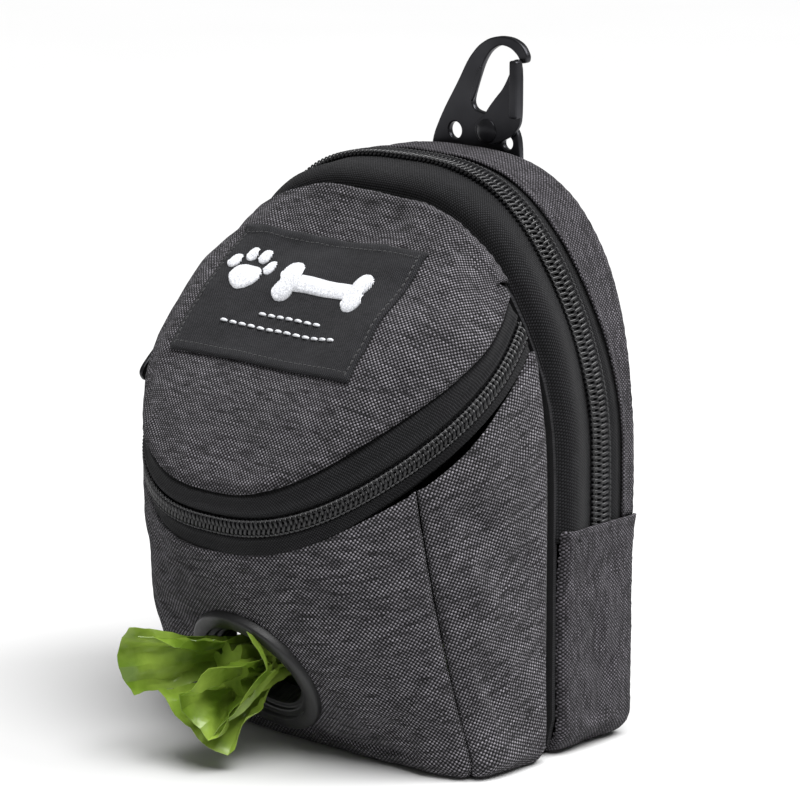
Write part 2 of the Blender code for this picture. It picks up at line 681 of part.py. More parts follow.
HOOK_DRAWN_FOR = 0.1465     # height of the rear arch that the outlines above are drawn for
HOOK_HOLES = ((-0.0070, 0.1492, 0.0022), (0.0112, 0.1476, 0.0017))
HOOK_CUT = (-0.003, 0.010)   # depths between which the cutters of the hook run
HOOK_SLOT = (0.0124, 0.0048)  # half width and height of the slot for the webbing


def hook_point(x, z, y):
    """A point of the hook, which rises and falls with the top of the rear arch."""
    return Vector((x, REAR_Y + y, z + HEIGHT - HOOK_DRAWN_FOR))


def hook():
    back = HOOK_Y + HOOK_THICK / 2
    front = HOOK_Y - HOOK_THICK / 2
    swing = hook_point(0, HOOK_BAR_Z, HOOK_Y)
    plate = [hook_point(x * MM, z * MM, front) for x, z in HOOK_OUTLINE]
    body = extruded("hook_plate", plate, (0, HOOK_THICK, 0), GUNMETAL, swing)
    slot_low = HOOK_BAR_Z + HOOK_BAR / 2
    slot_half, slot_height = HOOK_SLOT
    slot = box("hook_slot_cutter", hook_point(-slot_half, slot_low, HOOK_CUT[0]),
               hook_point(slot_half, slot_low + slot_height, HOOK_CUT[1]), hidden=True)
    boolean(body, slot)
    for k, (x, z, radius) in enumerate((*HOOK_HOLES, (*GATE_PIVOT, RIVET_R + GAP))):
        ends = [hook_point(x, z, y) for y in HOOK_CUT]
        boolean(body, rod(f"hook_hole_cutter_{k}", radius, *ends, steps=24, hidden=True))
    gate_back = front - GAP
    pivot = hook_point(*GATE_PIVOT, HOOK_Y)
    lever = [hook_point(x * MM, z * MM, gate_back) for x, z in GATE_OUTLINE]
    gate = extruded("gate_lever", lever, (0, -GATE_THICK, 0), GUNMETAL, pivot)
    ends = [hook_point(*GATE_PIVOT, y) for y in HOOK_CUT]
    boolean(gate, rod("gate_hole_cutter", RIVET_R + GAP, *ends, steps=24, hidden=True))
    head_front = gate_back - GATE_THICK - GAP
    spring_start = back + GAP
    spring_end = spring_start + SPRING_LENGTH
    tail = spring_end + GAP
    profile = [
        (0, head_front - RIVET_HEAD), (RIVET_HEAD_R - 0.0004, head_front - RIVET_HEAD),
        (RIVET_HEAD_R, head_front - RIVET_HEAD / 3), (RIVET_HEAD_R, head_front), (RIVET_R, head_front),
        (RIVET_R, tail), (RIVET_TAIL_R, tail), (RIVET_TAIL_R, tail + RIVET_HEAD), (0, tail + RIVET_HEAD)]
    turned("gate_rivet", profile, hook_point(*GATE_PIVOT, 0), (0, 1, 0), GUNMETAL, steps=24)
    coil = [(RIVET_R + GAP, spring_start), (SPRING_R, spring_start), (SPRING_R, spring_end),
            (RIVET_R + GAP, spring_end)]
    turned("gate_spring", coil, hook_point(*GATE_PIVOT, 0), (0, 1, 0), BLACK_METAL, steps=24)


def webbing_loop():
    """A closed band of webbing round the hook's bar, sewn to the rear panel."""
    profile = []
    for radius in (LOOP_INNER / 2 + WEBBING, LOOP_INNER / 2):
        ring = []
        for k in range(9):
            turn = math.pi * k / 8
            ring.append((HOOK_Y - radius * math.cos(turn), HOOK_BAR_Z + radius * math.sin(turn)))
        for k in range(9):
            turn = math.pi * k / 8
            ring.append((HOOK_Y + radius * math.cos(turn), LOOP_BOTTOM_Z - radius * math.sin(turn)))
        profile.append(ring)
    bm = bmesh.new()
    sides = []
    for x in (-LOOP_WIDTH / 2, LOOP_WIDTH / 2):
        sides.append([[bm.verts.new(hook_point(x, z, y)) for y, z in ring] for ring in profile])
    count = len(profile[0])
    for k in range(count):
        after = (k + 1) % count
        for ring in (0, 1):
            bm.faces.new((sides[0][ring][k], sides[0][ring][after], sides[1][ring][after], sides[1][ring][k]))
        for side in (0, 1):
            bm.faces.new((sides[side][0][k], sides[side][0][after], sides[side][1][after], sides[side][1][k]))
    bmesh.ops.recalc_face_normals(bm, faces=bm.faces)
    if bm.calc_volume(signed=True) < 0:
        bmesh.ops.reverse_faces(bm, faces=bm.faces)
    finish("webbing_loop", bm, BLACK_TAPE)


# ---------------------------------------------------------------- sliders
def bar_of(outline, start, length, axis):
    """A prism from an outline in the other two axes, running from start along this axis."""
    bm = bmesh.new()
    verts = []
    for pair in outline:
        point = list(pair)
        point.insert(axis, start)
        verts.append(bm.verts.new(point))
    grown = bmesh.ops.extrude_face_region(bm, geom=[bm.faces.new(verts)])
    far = [item for item in grown["geom"] if isinstance(item, bmesh.types.BMVert)]
    offset = [0, 0, 0]
    offset[axis] = length
    bmesh.ops.translate(bm, verts=far, vec=offset)
    bmesh.ops.recalc_face_normals(bm, faces=bm.faces)
    return bm


def slider(name, place, out, along):
    """A zipper slider's outer plate with its bail, and the pull that swings on it."""
    out = Vector(out).normalized()
    along = Vector(along).normalized()
    across = along.cross(out)
    basis = Matrix((out, across, along)).transposed().to_4x4()
    basis.translation = place
    half_across, half_along = SLIDER_HALF
    base = SLIDER_LIFT + SLIDER_PLATE
    bm = bmesh.new()
    add_box(bm, (SLIDER_LIFT, -half_across, -half_along), (base, half_across, half_along))
    bmesh.ops.bevel(bm, geom=bm.edges[:], offset=SLIDER_PLATE / 3, segments=1, affect="EDGES")
    bmesh.ops.transform(bm, matrix=basis, verts=bm.verts)
    plate = finish(name, bm, BLACK_METAL, place)
    foot = base - SLIDER_LIFT
    inner = base + BAIL_ROOM
    outer = inner + BAIL_BAR - 0.0001
    leg = BAIL_HALF - BAIL_BAR
    outline = [(foot, -BAIL_HALF), (outer, -BAIL_HALF), (outer, BAIL_HALF), (foot, BAIL_HALF),
               (foot, leg), (inner, leg), (inner, -leg), (foot, -leg)]
    bail = bar_of(outline, -BAIL_HALF_WIDTH, 2 * BAIL_HALF_WIDTH, 1)
    bmesh.ops.transform(bail, matrix=basis, verts=bail.verts)
    bridge = finish(name + "_bail_shape", bail, None, place, hidden=True)
    boolean(plate, bridge, "UNION")

    axis_x = base + BAIL_ROOM / 2
    end = -PULL_LENGTH + PULL_CHAMFER
    narrow = PULL_HALF - PULL_CHAMFER
    top = PULL_THICK / 2
    ring = [(-PULL_HALF, top), (PULL_HALF, top), (PULL_HALF, end), (narrow, -PULL_LENGTH),
            (-narrow, -PULL_LENGTH), (-PULL_HALF, end)]
    pull = bar_of(ring, axis_x - PULL_THICK / 2, PULL_THICK, 0)
    bmesh.ops.transform(pull, matrix=basis, verts=pull.verts)
    tab = finish(name + "_pull", pull, BLACK_METAL, basis @ Vector((axis_x, 0, 0)))
    window_half, window_end = PULL_WINDOW
    window = bmesh.new()
    add_box(window, (axis_x - 2 * PULL_THICK, -window_half, -window_end),
            (axis_x + 2 * PULL_THICK, window_half, -PULL_THICK / 2))
    bmesh.ops.transform(window, matrix=basis, verts=window.verts)
    cutter = finish(name + "_window_cutter", window, None, place, hidden=True)
    boolean(tab, cutter)


def sliders():
    x, z = -HALF - COIL_PROUD, MAIN_SLIDER_Z
    slider("main_slider", at(x, COIL_MIDDLE[0], z), (-1, 0, 0), (0, 0, 1))
    point = band_line(LID_SLIDER_ANGLE, 0.0, COIL_PROUD)
    step = math.radians(4)
    along = band_line(LID_SLIDER_ANGLE + step) - band_line(LID_SLIDER_ANGLE - step)
    up = band_line(LID_SLIDER_ANGLE, 0.001) - band_line(LID_SLIDER_ANGLE, -0.001)
    out = along.cross(up).normalized()
    if out.x > 0:
        out = -out
    slider("lid_slider", point + out * 0.0003, out, -along)


clear_scene()
back_panels()
base_gusset()
hem("hem_left", -1)
hem("hem_right", 1)
main_zipper()
divider()
piping()
pocket()
lid()
label()
outlet()
waste_bags()
bag_tail()
hook()
webbing_loop()
sliders()
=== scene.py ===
"""Looks of the treat pouch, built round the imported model.

Lengths are metres unless a name ends in _MM. The front faces -Y and depth is
measured forwards from the plane of the rear panel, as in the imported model.
"""
import math

import bmesh
import bpy
import numpy as np
from mathutils import Matrix, Vector, noise
from mathutils.bvhtree import BVHTree


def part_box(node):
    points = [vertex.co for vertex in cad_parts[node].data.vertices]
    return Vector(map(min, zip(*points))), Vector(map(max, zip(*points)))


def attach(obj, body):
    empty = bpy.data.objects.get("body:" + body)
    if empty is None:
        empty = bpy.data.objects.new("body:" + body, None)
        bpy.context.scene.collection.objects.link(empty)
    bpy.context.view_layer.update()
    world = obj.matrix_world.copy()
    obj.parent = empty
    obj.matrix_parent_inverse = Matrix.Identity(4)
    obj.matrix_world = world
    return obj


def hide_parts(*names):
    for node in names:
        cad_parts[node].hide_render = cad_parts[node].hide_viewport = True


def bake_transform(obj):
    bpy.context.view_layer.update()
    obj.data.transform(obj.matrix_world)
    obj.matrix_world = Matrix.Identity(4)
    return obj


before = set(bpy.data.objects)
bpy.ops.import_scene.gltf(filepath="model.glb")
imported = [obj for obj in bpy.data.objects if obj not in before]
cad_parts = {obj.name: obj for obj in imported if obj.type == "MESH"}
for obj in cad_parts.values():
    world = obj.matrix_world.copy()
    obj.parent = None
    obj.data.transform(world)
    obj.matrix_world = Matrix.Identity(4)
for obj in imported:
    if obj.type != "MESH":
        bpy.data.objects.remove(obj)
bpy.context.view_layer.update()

# ---------------------------------------------------------------- sizes read from the frame
REAR_LOW, REAR_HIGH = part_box("back_panel_upper")
HALF = REAR_HIGH.x
HEIGHT = REAR_HIGH.z
HEM_Z = REAR_LOW.z
REAR_Y = REAR_HIGH.y
HOOK_LOW, HOOK_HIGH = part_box("hook_plate")
HOOK_Y = (HOOK_LOW.y + HOOK_HIGH.y) / 2
HOOK_HALF_THICK = (HOOK_HIGH.y - HOOK_LOW.y) / 2
ROLL_LOW, ROLL_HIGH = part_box("waste_bag_roll")

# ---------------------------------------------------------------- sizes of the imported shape
ARCH_POWER = 2.85
FRONT_TOP = HEIGHT - 0.007
FRONT_HALF = HALF - 0.0005
SEAM_DEPTH = 0.0275
SEAM_TOP_DEPTH = 0.0355
LEAN_START_Z = 0.080
GUSSET_EDGE = (0.0056, 0.0152)
COIL_MIDDLE = (0.0134, 0.0216)
MAIN_COIL_HALF = 0.0034
BASE_CORNER = 0.008
POCKET_POWER = 2.5
POCKET_END_Z = 0.1109
POCKET_LIP_Z = 0.0634
POCKET_LIP_DEPTH = 0.094
POCKET_BASE_DEPTH = 0.064
POCKET_BASE_POWER = 5.0
POCKET_BULGE = 0.0025
POCKET_ROUND = 0.005
BAND_SLOPE = 0.12
BAND_CORNER = 0.45
BAND_NARROW = 0.40
BAND_TAPER = 0.55
LID_HEM = 0.0085
LID_COIL_HALF = 0.0020
LOWER_TAPE = 0.0075
SEAM_ROOM = 0.0033
PANEL_SPLIT = math.radians(55.5)
LID_SLOPE = math.radians(45)
LABEL_WIDTH = 0.062
LABEL_SPAN = (0.235, 0.67)
OUTLET_Z = 0.023
OUTLET_R = 0.0195
OUTLET_BORE_R = 0.0125
OUTLET_HOLE_R = 0.0160
MAIN_SLIDER_Z = 0.0690
LID_SLIDER_ANGLE = math.radians(-80)
PULL_LENGTH = 0.020
HOOK_BAR_Z = 0.1384
LOOP_WIDTH = 0.022
LOOP_BOTTOM_Z = 0.120
GATE_PIVOT_MM = (5.2, 150.3)

CLOTH = 0.0009              # thickness of a fabric panel as it shows
TAPE = 0.0006
QUARTER = math.radians(89.6)
INSIDE = np.array((0.0, REAR_Y - SEAM_DEPTH, HEM_Z))
MM = 0.001


# ---------------------------------------------------------------- shape of the pouch
def at(x, depth, z):
    return Vector((x, REAR_Y - depth, z))


def ease(value):
    value = min(max(value, 0.0), 1.0)
    return value * value * (3 - 2 * value)


def leaned(z, ends):
    """Depth at this height of a line that runs along the leaning zipper band."""
    return ends[0] + (ends[1] - ends[0]) * ease((z - LEAN_START_Z) / (FRONT_TOP - LEAN_START_Z))


def seam_depth(z):
    return leaned(z, (SEAM_DEPTH, SEAM_TOP_DEPTH))


def arch(angle, half, top):
    """(x, z) on the arch: pi is the left end at the hem, 0 the right one."""
    cosine = math.cos(angle)
    x = math.copysign(half * abs(cosine) ** (2 / ARCH_POWER), cosine)
    return x, HEM_Z + (top - HEM_Z) * abs(math.sin(angle)) ** (2 / ARCH_POWER)


def arch_half(z, half, top):
    if z <= HEM_Z:
        return half
    rise = min((z - HEM_Z) / (top - HEM_Z), 1.0)
    return half * (1 - rise ** ARCH_POWER) ** (1 / ARCH_POWER)


def resampled(points, count):
    """The same line with its points evenly spaced."""
    points = np.array(points, float)
    steps = np.linalg.norm(np.diff(points, axis=0), axis=1)
    length = np.concatenate([[0], np.cumsum(steps)])
    wanted = np.linspace(0, length[-1], count)
    return np.stack([np.interp(wanted, length, points[:, k]) for k in range(3)], 1)


def arch_line(ends, out=0.0, drop=0.0, under=0.0, count=150):
    """A line over the arch at a leaning depth, carried on below the hem by the given length."""
    points = []
    for k in range(361):
        x, z = arch(math.pi * (1 - k / 360), HALF + out, HEIGHT + out - drop)
        points.append(at(x, leaned(z, ends), z))
    if under:
        foot = [at(-HALF - out, ends[0], HEM_Z - under)]
        points = foot + points + [at(HALF + out, ends[0], HEM_Z - under)]
    return resampled(points, count)


def band_line(angle, offset=0.0, proud=0.0):
    """A point beside the pocket zipper's middle line: -90 degrees is its left end."""
    if offset > LID_COIL_HALF:
        wider = BAND_CORNER * math.sin(2 * angle) ** 2 - BAND_NARROW * abs(math.sin(angle)) ** 12
        offset += (offset - LID_COIL_HALF) * wider
    elif offset < -LID_COIL_HALF:
        offset -= (offset + LID_COIL_HALF) * BAND_TAPER * ease(abs(angle) / (math.pi / 2))
    sine = math.sin(angle)
    cosine = max(math.cos(angle), 0.0)
    reach = cosine ** (2 / POCKET_POWER)
    side = abs(sine) ** (2 / POCKET_POWER)
    run = math.hypot(POCKET_LIP_DEPTH - SEAM_DEPTH, POCKET_END_Z - POCKET_LIP_Z)
    steep = (POCKET_END_Z - POCKET_LIP_Z) / run * ease(abs(angle) / (math.pi / 2))
    z = POCKET_END_Z - (POCKET_END_Z - POCKET_LIP_Z) * reach + offset / math.sqrt(1 - steep * steep)
    near = seam_depth(z) + SEAM_ROOM
    depth = near + (POCKET_LIP_DEPTH - near) * reach + BAND_SLOPE * offset * cosine
    edge_half = arch_half(POCKET_END_Z, FRONT_HALF, FRONT_TOP)
    x = math.copysign(side, sine) * edge_half
    x *= 1 + (arch_half(z, FRONT_HALF, FRONT_TOP) / edge_half - 1) * abs(sine) ** 6
    out = Vector((math.copysign(abs(sine), sine), -cosine, 0)).normalized()
    return at(x, depth, z) + out * proud


def pocket_base(angle):
    """(x, depth) of the pocket's outline at the base."""
    near = SEAM_DEPTH + SEAM_ROOM
    x = math.copysign(FRONT_HALF * abs(math.sin(angle)) ** (2 / POCKET_BASE_POWER), math.sin(angle))
    reach = max(math.cos(angle), 0.0) ** (2 / POCKET_BASE_POWER)
    return x, near + (POCKET_BASE_DEPTH - near) * reach


def base_inwards(angle):
    x, depth = pocket_base(angle)
    near = SEAM_DEPTH + SEAM_ROOM
    across = abs(x / FRONT_HALF) ** (POCKET_BASE_POWER - 1) / FRONT_HALF
    reach = (depth - near) / (POCKET_BASE_DEPTH - near)
    along = reach ** (POCKET_BASE_POWER - 1) / (POCKET_BASE_DEPTH - near)
    return Vector((-math.copysign(across, x), along, 0)).normalized()


def pocket_point(angle, share):
    """Share 0 is under the zipper, 1 where the lower edge starts to round, 2 at the floor."""
    top = band_line(angle, -LOWER_TAPE)
    x, depth = pocket_base(angle)
    turn = math.radians(90 * max(share - 1, 0))
    point = top.lerp(at(x, depth, POCKET_ROUND * (1 - math.sin(turn))), min(share, 1))
    cosine = max(math.cos(angle), 0.0)
    edge_x = math.copysign(arch_half(point.z, FRONT_HALF, FRONT_TOP), angle)
    point.x += (edge_x - point.x) * abs(math.sin(angle)) ** 8
    bulge = POCKET_BULGE * 4 * share * max(1 - share, 0) * cosine
    point += base_inwards(angle) * POCKET_ROUND * (1 - math.cos(turn))
    return point + Vector((0, -bulge, 0))


def lid_point(angle, share):
    """A point on the lid: share 0 is at the front seam and 1 is at the zipper band."""
    low = band_line(angle, LID_HEM)
    end_z = band_line(math.pi / 2, LID_HEM).z + 0.003
    end_angle = math.asin(((end_z - HEM_Z) / (FRONT_TOP - HEM_Z)) ** (ARCH_POWER / 2))
    turn = math.pi / 2 - angle / (math.pi / 2) * (math.pi / 2 - end_angle)
    x, z = arch(turn, FRONT_HALF, FRONT_TOP)
    inset = SEAM_ROOM + 0.0016
    high = at(x, seam_depth(z) + inset, z)
    middle = (at(0, SEAM_TOP_DEPTH + inset, FRONT_TOP) - band_line(0, LID_HEM)).length
    scale = (high - low).length / middle
    full = Vector((0, 0, 0.0067 * math.sin(2 * angle) ** 2))
    first = high + Vector((0, -0.004, -0.0155)) * scale + full
    second = low + Vector((0, 0.015, 0.028)) * scale + full
    rest = 1 - share
    return (high * rest ** 3 + first * 3 * share * rest ** 2 + second * 3 * share ** 2 * rest
            + low * share ** 3)


def outlet_place():
    """The outlet's centre on the pocket's outer face and the direction it faces."""
    top = band_line(0, -LOWER_TAPE).z
    share = (top - OUTLET_Z) / (top - POCKET_ROUND)
    down = pocket_point(0, share + 0.05) - pocket_point(0, share - 0.05)
    facing = Vector((1, 0, 0)).cross(down).normalized()
    return pocket_point(0, share), -facing if facing.y > 0 else facing


# ---------------------------------------------------------------- materials
class Look:
    """A node material, with short calls for the nodes that it is made of."""

    def __init__(self, name, color, roughness, metallic=0.0, **sockets):
        self.material = bpy.data.materials.new(name)
        self.material.use_nodes = True
        self.tree = self.material.node_tree
        self.shader = self.tree.nodes["Principled BSDF"]
        self.shader.inputs["Base Color"].default_value = (*color, 1.0)
        self.shader.inputs["Roughness"].default_value = roughness
        self.shader.inputs["Metallic"].default_value = metallic
        for socket, value in sockets.items():
            self.shader.inputs[socket.replace("_", " ")].default_value = value

    def feed(self, socket, value):
        if isinstance(value, bpy.types.NodeSocket):
            self.tree.links.new(value, socket)
        else:
            socket.default_value = value

    def math(self, operation, first, second=0.0):
        node = self.tree.nodes.new("ShaderNodeMath")
        node.operation = operation
        self.feed(node.inputs[0], first)
        self.feed(node.inputs[1], second)
        return node.outputs[0]

    def mix(self, share, first, second):
        """A colour between two colours."""
        node = self.tree.nodes.new("ShaderNodeMix")
        node.data_type = "RGBA"
        self.feed(node.inputs[0], share)
        for socket, value in ((node.inputs[6], first), (node.inputs[7], second)):
            self.feed(socket, (*value, 1.0) if isinstance(value, tuple) else value)
        return node.outputs[2]

    def scaled(self, color, by):
        """A colour made lighter or darker."""
        node = self.tree.nodes.new("ShaderNodeVectorMath")
        node.operation = "SCALE"
        self.feed(node.inputs[0], color)
        self.feed(node.inputs[3], by)
        return node.outputs[0]

    def spread(self, value, low, high, out_low=0.0, out_high=1.0):
        node = self.tree.nodes.new("ShaderNodeMapRange")
        self.feed(node.inputs[0], value)
        for k, number in enumerate((low, high, out_low, out_high)):
            node.inputs[k + 1].default_value = number
        return node.outputs[0]

    def place(self, flat):
        """Cloth coordinates in millimetres: from the unwrapped cloth, or from two axes of a flat solid."""
        split = self.tree.nodes.new("ShaderNodeSeparateXYZ")
        if flat:
            source = self.tree.nodes.new("ShaderNodeTexCoord")
            scale = self.tree.nodes.new("ShaderNodeVectorMath")
            scale.operation = "SCALE"
            self.feed(scale.inputs[0], source.outputs["Object"])
            scale.inputs[3].default_value = 1 / MM
            self.feed(split.inputs[0], scale.outputs[0])
            return tuple(split.outputs["XYZ".index(axis)] for axis in flat)
        source = self.tree.nodes.new("ShaderNodeUVMap")
        source.uv_map = "cloth"
        self.feed(split.inputs[0], source.outputs[0])
        return split.outputs[0], split.outputs[1]

    def noise(self, scale, detail=3.0, where=None):
        node = self.tree.nodes.new("ShaderNodeTexNoise")
        node.inputs["Scale"].default_value = scale
        node.inputs["Detail"].default_value = detail
        if where is None:
            where = self.tree.nodes.new("ShaderNodeTexCoord").outputs["Object"]
        self.feed(node.inputs["Vector"], where)
        return node.outputs["Fac"]

    def joined(self, x, y, z=0.0):
        node = self.tree.nodes.new("ShaderNodeCombineXYZ")
        for socket, value in zip(node.inputs, (x, y, z)):
            self.feed(socket, value)
        return node.outputs[0]

    def bump(self, height, distance, strength=1.0):
        node = self.tree.nodes.new("ShaderNodeBump")
        node.inputs["Distance"].default_value = distance
        node.inputs["Strength"].default_value = strength
        self.feed(node.inputs["Height"], height)
        self.feed(self.shader.inputs["Normal"], node.outputs[0])

    def color(self, value):
        self.feed(self.shader.inputs["Base Color"], value)


def weave(name, warp, weft, pitch_mm, gap_shade=0.15, slub=0.75, depth=0.00022, flat=None, roughness=0.92, sheen=0.05):
    """Plain weave: each thread goes over and under, with its own tone and slubs, and painted shade in the gaps between
    threads.
    """
    look = Look(name, warp, roughness, Sheen_Weight=sheen, Sheen_Roughness=0.45)
    look.shader.inputs["Specular IOR Level"].default_value = 0.12
    u, v = (look.math("MULTIPLY", axis, 1 / pitch_mm) for axis in look.place(flat))
    warp_row = look.math("FLOOR", u)
    weft_row = look.math("FLOOR", v)
    over = look.math("FLOORED_MODULO", look.math("ADD", warp_row, weft_row), 2.0)
    wave_u = look.math("ABSOLUTE", look.math("SINE", look.math("MULTIPLY", u, math.pi)))
    wave_v = look.math("ABSOLUTE", look.math("SINE", look.math("MULTIPLY", v, math.pi)))
    heights = []
    for across, along in ((wave_u, wave_v), (wave_v, wave_u)):
        round_top = look.math("POWER", across, 0.6)
        heights.append(look.math("MULTIPLY", round_top, look.spread(along, 0, 1, 0.35, 1.0)))
    height = look.math("ADD", look.math("MULTIPLY", heights[0], look.math("SUBTRACT", 1.0, over)),
                       look.math("MULTIPLY", heights[1], over))
    warp_tone = look.noise(1.0, 2.0, look.joined(look.math("MULTIPLY", warp_row, 3.7),
                                                 look.math("MULTIPLY", v, 0.11)))
    weft_tone = look.noise(1.0, 2.0, look.joined(look.math("MULTIPLY", u, 0.11),
                                                 look.math("MULTIPLY", weft_row, 3.7), 9.0))
    warp_color = look.scaled(look.mix(0.0, warp, warp), look.spread(warp_tone, 0.3, 0.7, 1 - slub, 1 + slub))
    weft_color = look.scaled(look.mix(0.0, weft, weft), look.spread(weft_tone, 0.3, 0.7, 1 - slub, 1 + slub))
    threads = look.mix(over, warp_color, weft_color)
    patch = look.spread(look.noise(55.0, 4.0), 0.3, 0.7, 0.88, 1.12)
    # painted shade: the colour darkens where the threads dip into the gaps between them, times a random patchy tone
    shade = look.math("MULTIPLY", look.spread(height, 0.0, 0.9, gap_shade, 1.15), patch)
    look.color(look.scaled(threads, shade))
    look.bump(height, depth)
    return look.material


def plain(name, dark, light, roughness, scale=400.0, depth=0.00003, metallic=0.0, **sockets):
    """A moulded or rolled surface: a fine grain, with rubbed and duller places."""
    look = Look(name, dark, roughness, metallic, **sockets)
    grain = look.noise(scale, 5.0)
    rubbed = look.noise(scale / 12, 3.0)
    look.color(look.mix(look.spread(rubbed, 0.35, 0.7), dark, light))
    rough = look.spread(look.noise(scale / 6, 4.0), 0.3, 0.7, roughness * 0.85, min(roughness * 1.2, 1.0))
    look.feed(look.shader.inputs["Roughness"], rough)
    look.bump(grain, depth)
    return look.material


def film(name, deep, light):
    """Thin bag film that lets light through, with painted highlight: a paler green in random patches."""
    look = Look(name, light, 0.30, IOR=1.30, Transmission_Weight=0.15, Coat_Weight=0.45, Coat_Roughness=0.12)
    # painted highlight: noise patches where the film turns paler
    folds = look.noise(90.0, 5.0)
    look.color(look.mix(look.spread(folds, 0.35, 0.65), deep, light))
    look.bump(look.noise(420.0, 4.0), 0.0001, 0.6)
    return look.material


def thread(name, dark, light):
    """Twisted sewing thread."""
    look = Look(name, light, 0.75, Sheen_Weight=0.3)
    twist = look.noise(2500.0, 2.0)
    look.color(look.mix(look.spread(twist, 0.35, 0.65), dark, light))
    look.bump(twist, 0.00005)
    return look.material


LOOKS = {
    "grey_fabric": weave("grey_fabric", (0.0080, 0.0077, 0.0085), (0.150, 0.143, 0.157), 0.56, gap_shade=0.10),
    "fine_fabric": weave("fine_fabric", (0.013, 0.0122, 0.0138), (0.098, 0.092, 0.103), 0.50, gap_shade=0.32, slub=0.7),
    "black_tape": weave("black_tape", (0.0045, 0.0045, 0.0050), (0.0220, 0.0220, 0.0240), 0.42, gap_shade=0.30,
                        slub=0.25, depth=0.00015),
    "label_cloth": weave("label_cloth", (0.0085, 0.0085, 0.0093), (0.036, 0.036, 0.040), 0.34, gap_shade=0.4,
                         slub=0.3, depth=0.00010),
    "lining": weave("lining", (0.012, 0.012, 0.013), (0.024, 0.024, 0.026), 0.28, gap_shade=0.6, slub=0.15,
                    depth=0.00006, flat="XZ"),
    "floor_lining": weave("floor_lining", (0.018, 0.017, 0.019), (0.120, 0.115, 0.125), 0.50, gap_shade=0.35,
                          flat="XY"),
    "black_coil": plain("black_coil", (0.0035, 0.0035, 0.0040), (0.0085, 0.0085, 0.0100), 0.34, 900.0),
    "black_moulding": plain("black_moulding", (0.0045, 0.0045, 0.0050), (0.0080, 0.0080, 0.0085), 0.46, 700.0,
                            0.00005),
    "gunmetal": plain("gunmetal", (0.020, 0.020, 0.023), (0.060, 0.060, 0.066), 0.32, 500.0, 0.00002, 0.85),
    "black_metal": plain("black_metal", (0.014, 0.014, 0.015), (0.045, 0.045, 0.048), 0.34, 500.0, 0.00002,
                         0.85),
    "green_film": film("green_film", (0.120, 0.205, 0.016), (0.330, 0.470, 0.070)),
    "card": plain("card", (0.380, 0.280, 0.170), (0.520, 0.400, 0.260), 0.92, 250.0, 0.00010),
    "white_thread": thread("white_thread", (0.450, 0.460, 0.490), (0.780, 0.790, 0.820)),
    "black_thread": thread("black_thread", (0.005, 0.005, 0.006), (0.014, 0.014, 0.016)),
}


# ---------------------------------------------------------------- mesh helpers
def place(obj, look, body, replaces=(), slot=None, blend=None):
    """Gives a finished piece its material and puts it on its body, or, when given a blend, bakes its place into its
    mesh.
    """
    obj.data.materials.clear()
    obj.data.materials.append(LOOKS[look])
    if slot is None:
        slot = look
    if blend:
        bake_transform(obj)
    else:
        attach(obj, body)
    if replaces:
        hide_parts(*replaces)
    return obj


def new_object(name, verts, faces, smooth=True):
    mesh = bpy.data.meshes.new(name)
    mesh.from_pydata([tuple(v) for v in verts], [], [tuple(f) for f in faces])
    mesh.polygons.foreach_set("use_smooth", [smooth] * len(mesh.polygons))
    mesh.update()
    obj = bpy.data.objects.new(name, mesh)
    bpy.context.scene.collection.objects.link(obj)
    return obj


def from_bmesh(name, bm, smooth=True):
    mesh = bpy.data.meshes.new(name)
    bm.to_mesh(mesh)
    bm.free()
    mesh.polygons.foreach_set("use_smooth", [smooth] * len(mesh.polygons))
    obj = bpy.data.objects.new(name, mesh)
    bpy.context.scene.collection.objects.link(obj)
    return obj


def final(obj):
    """Replaces the mesh by what its modifiers make of it."""
    bpy.context.view_layer.update()
    made = bpy.data.meshes.new_from_object(obj.evaluated_get(bpy.context.evaluated_depsgraph_get()))
    obj.modifiers.clear()
    obj.data = made
    return obj


def sharpened(obj, degrees=35):
    obj.data.polygons.foreach_set("use_smooth", [True] * len(obj.data.polygons))
    obj.data.set_sharp_from_angle(angle=math.radians(degrees))
    return obj


def grid_normals(points):
    normals = np.cross(np.gradient(points, axis=0), np.gradient(points, axis=1))
    normals /= np.maximum(np.linalg.norm(normals, axis=2, keepdims=True), 1e-12)
    outwards = ((points - INSIDE) * normals).sum()
    return normals if outwards > 0 else -normals


def edge_distances(points):
    """How far each point of the grid is from the grid's first and last row and column."""
    down = np.cumsum(np.linalg.norm(np.diff(points, axis=0), axis=2), axis=0)
    along = np.cumsum(np.linalg.norm(np.diff(points, axis=1), axis=2), axis=1)
    down = np.vstack([np.zeros((1, points.shape[1])), down])
    along = np.hstack([np.zeros((points.shape[0], 1)), along])
    return {"top": down, "bottom": down[-1:] - down, "left": along, "right": along[:, -1:] - along}


def rolled(distance, width, depth):
    """How far a panel's edge turns in at this distance from its seam."""
    inwards = np.clip(1 - distance / width, 0, 1)
    return depth * (1 - np.sqrt(1 - inwards ** 2))


def uneven(points, size, seed=0.0):
    """Smooth noise between -1 and 1 at each point of the grid."""
    flat = [noise.noise(Vector(p) / size + Vector((seed, seed, seed))) for p in points.reshape(-1, 3)]
    return np.array(flat).reshape(points.shape[:2])


def grid_object(name, points, cloth_place):
    rows, columns = points.shape[:2]
    faces = []
    for i in range(rows - 1):
        for j in range(columns - 1):
            first = i * columns + j
            faces.append((first, first + 1, first + columns + 1, first + columns))
    obj = new_object(name, points.reshape(-1, 3), faces)
    a, b, c = (points[0, 0], points[0, 1], points[1, 0])
    mesh = obj.data
    facing = sum(p.normal.dot(p.center - Vector(INSIDE)) * p.area for p in mesh.polygons)
    if facing < 0:
        mesh.flip_normals()
    layer = mesh.uv_layers.new(name="cloth")
    index = np.empty(len(mesh.loops), np.int32)
    mesh.loops.foreach_get("vertex_index", index)
    layer.uv.foreach_set("vector", cloth_place.reshape(-1, 2)[index].astype(np.float32).ravel())
    return obj


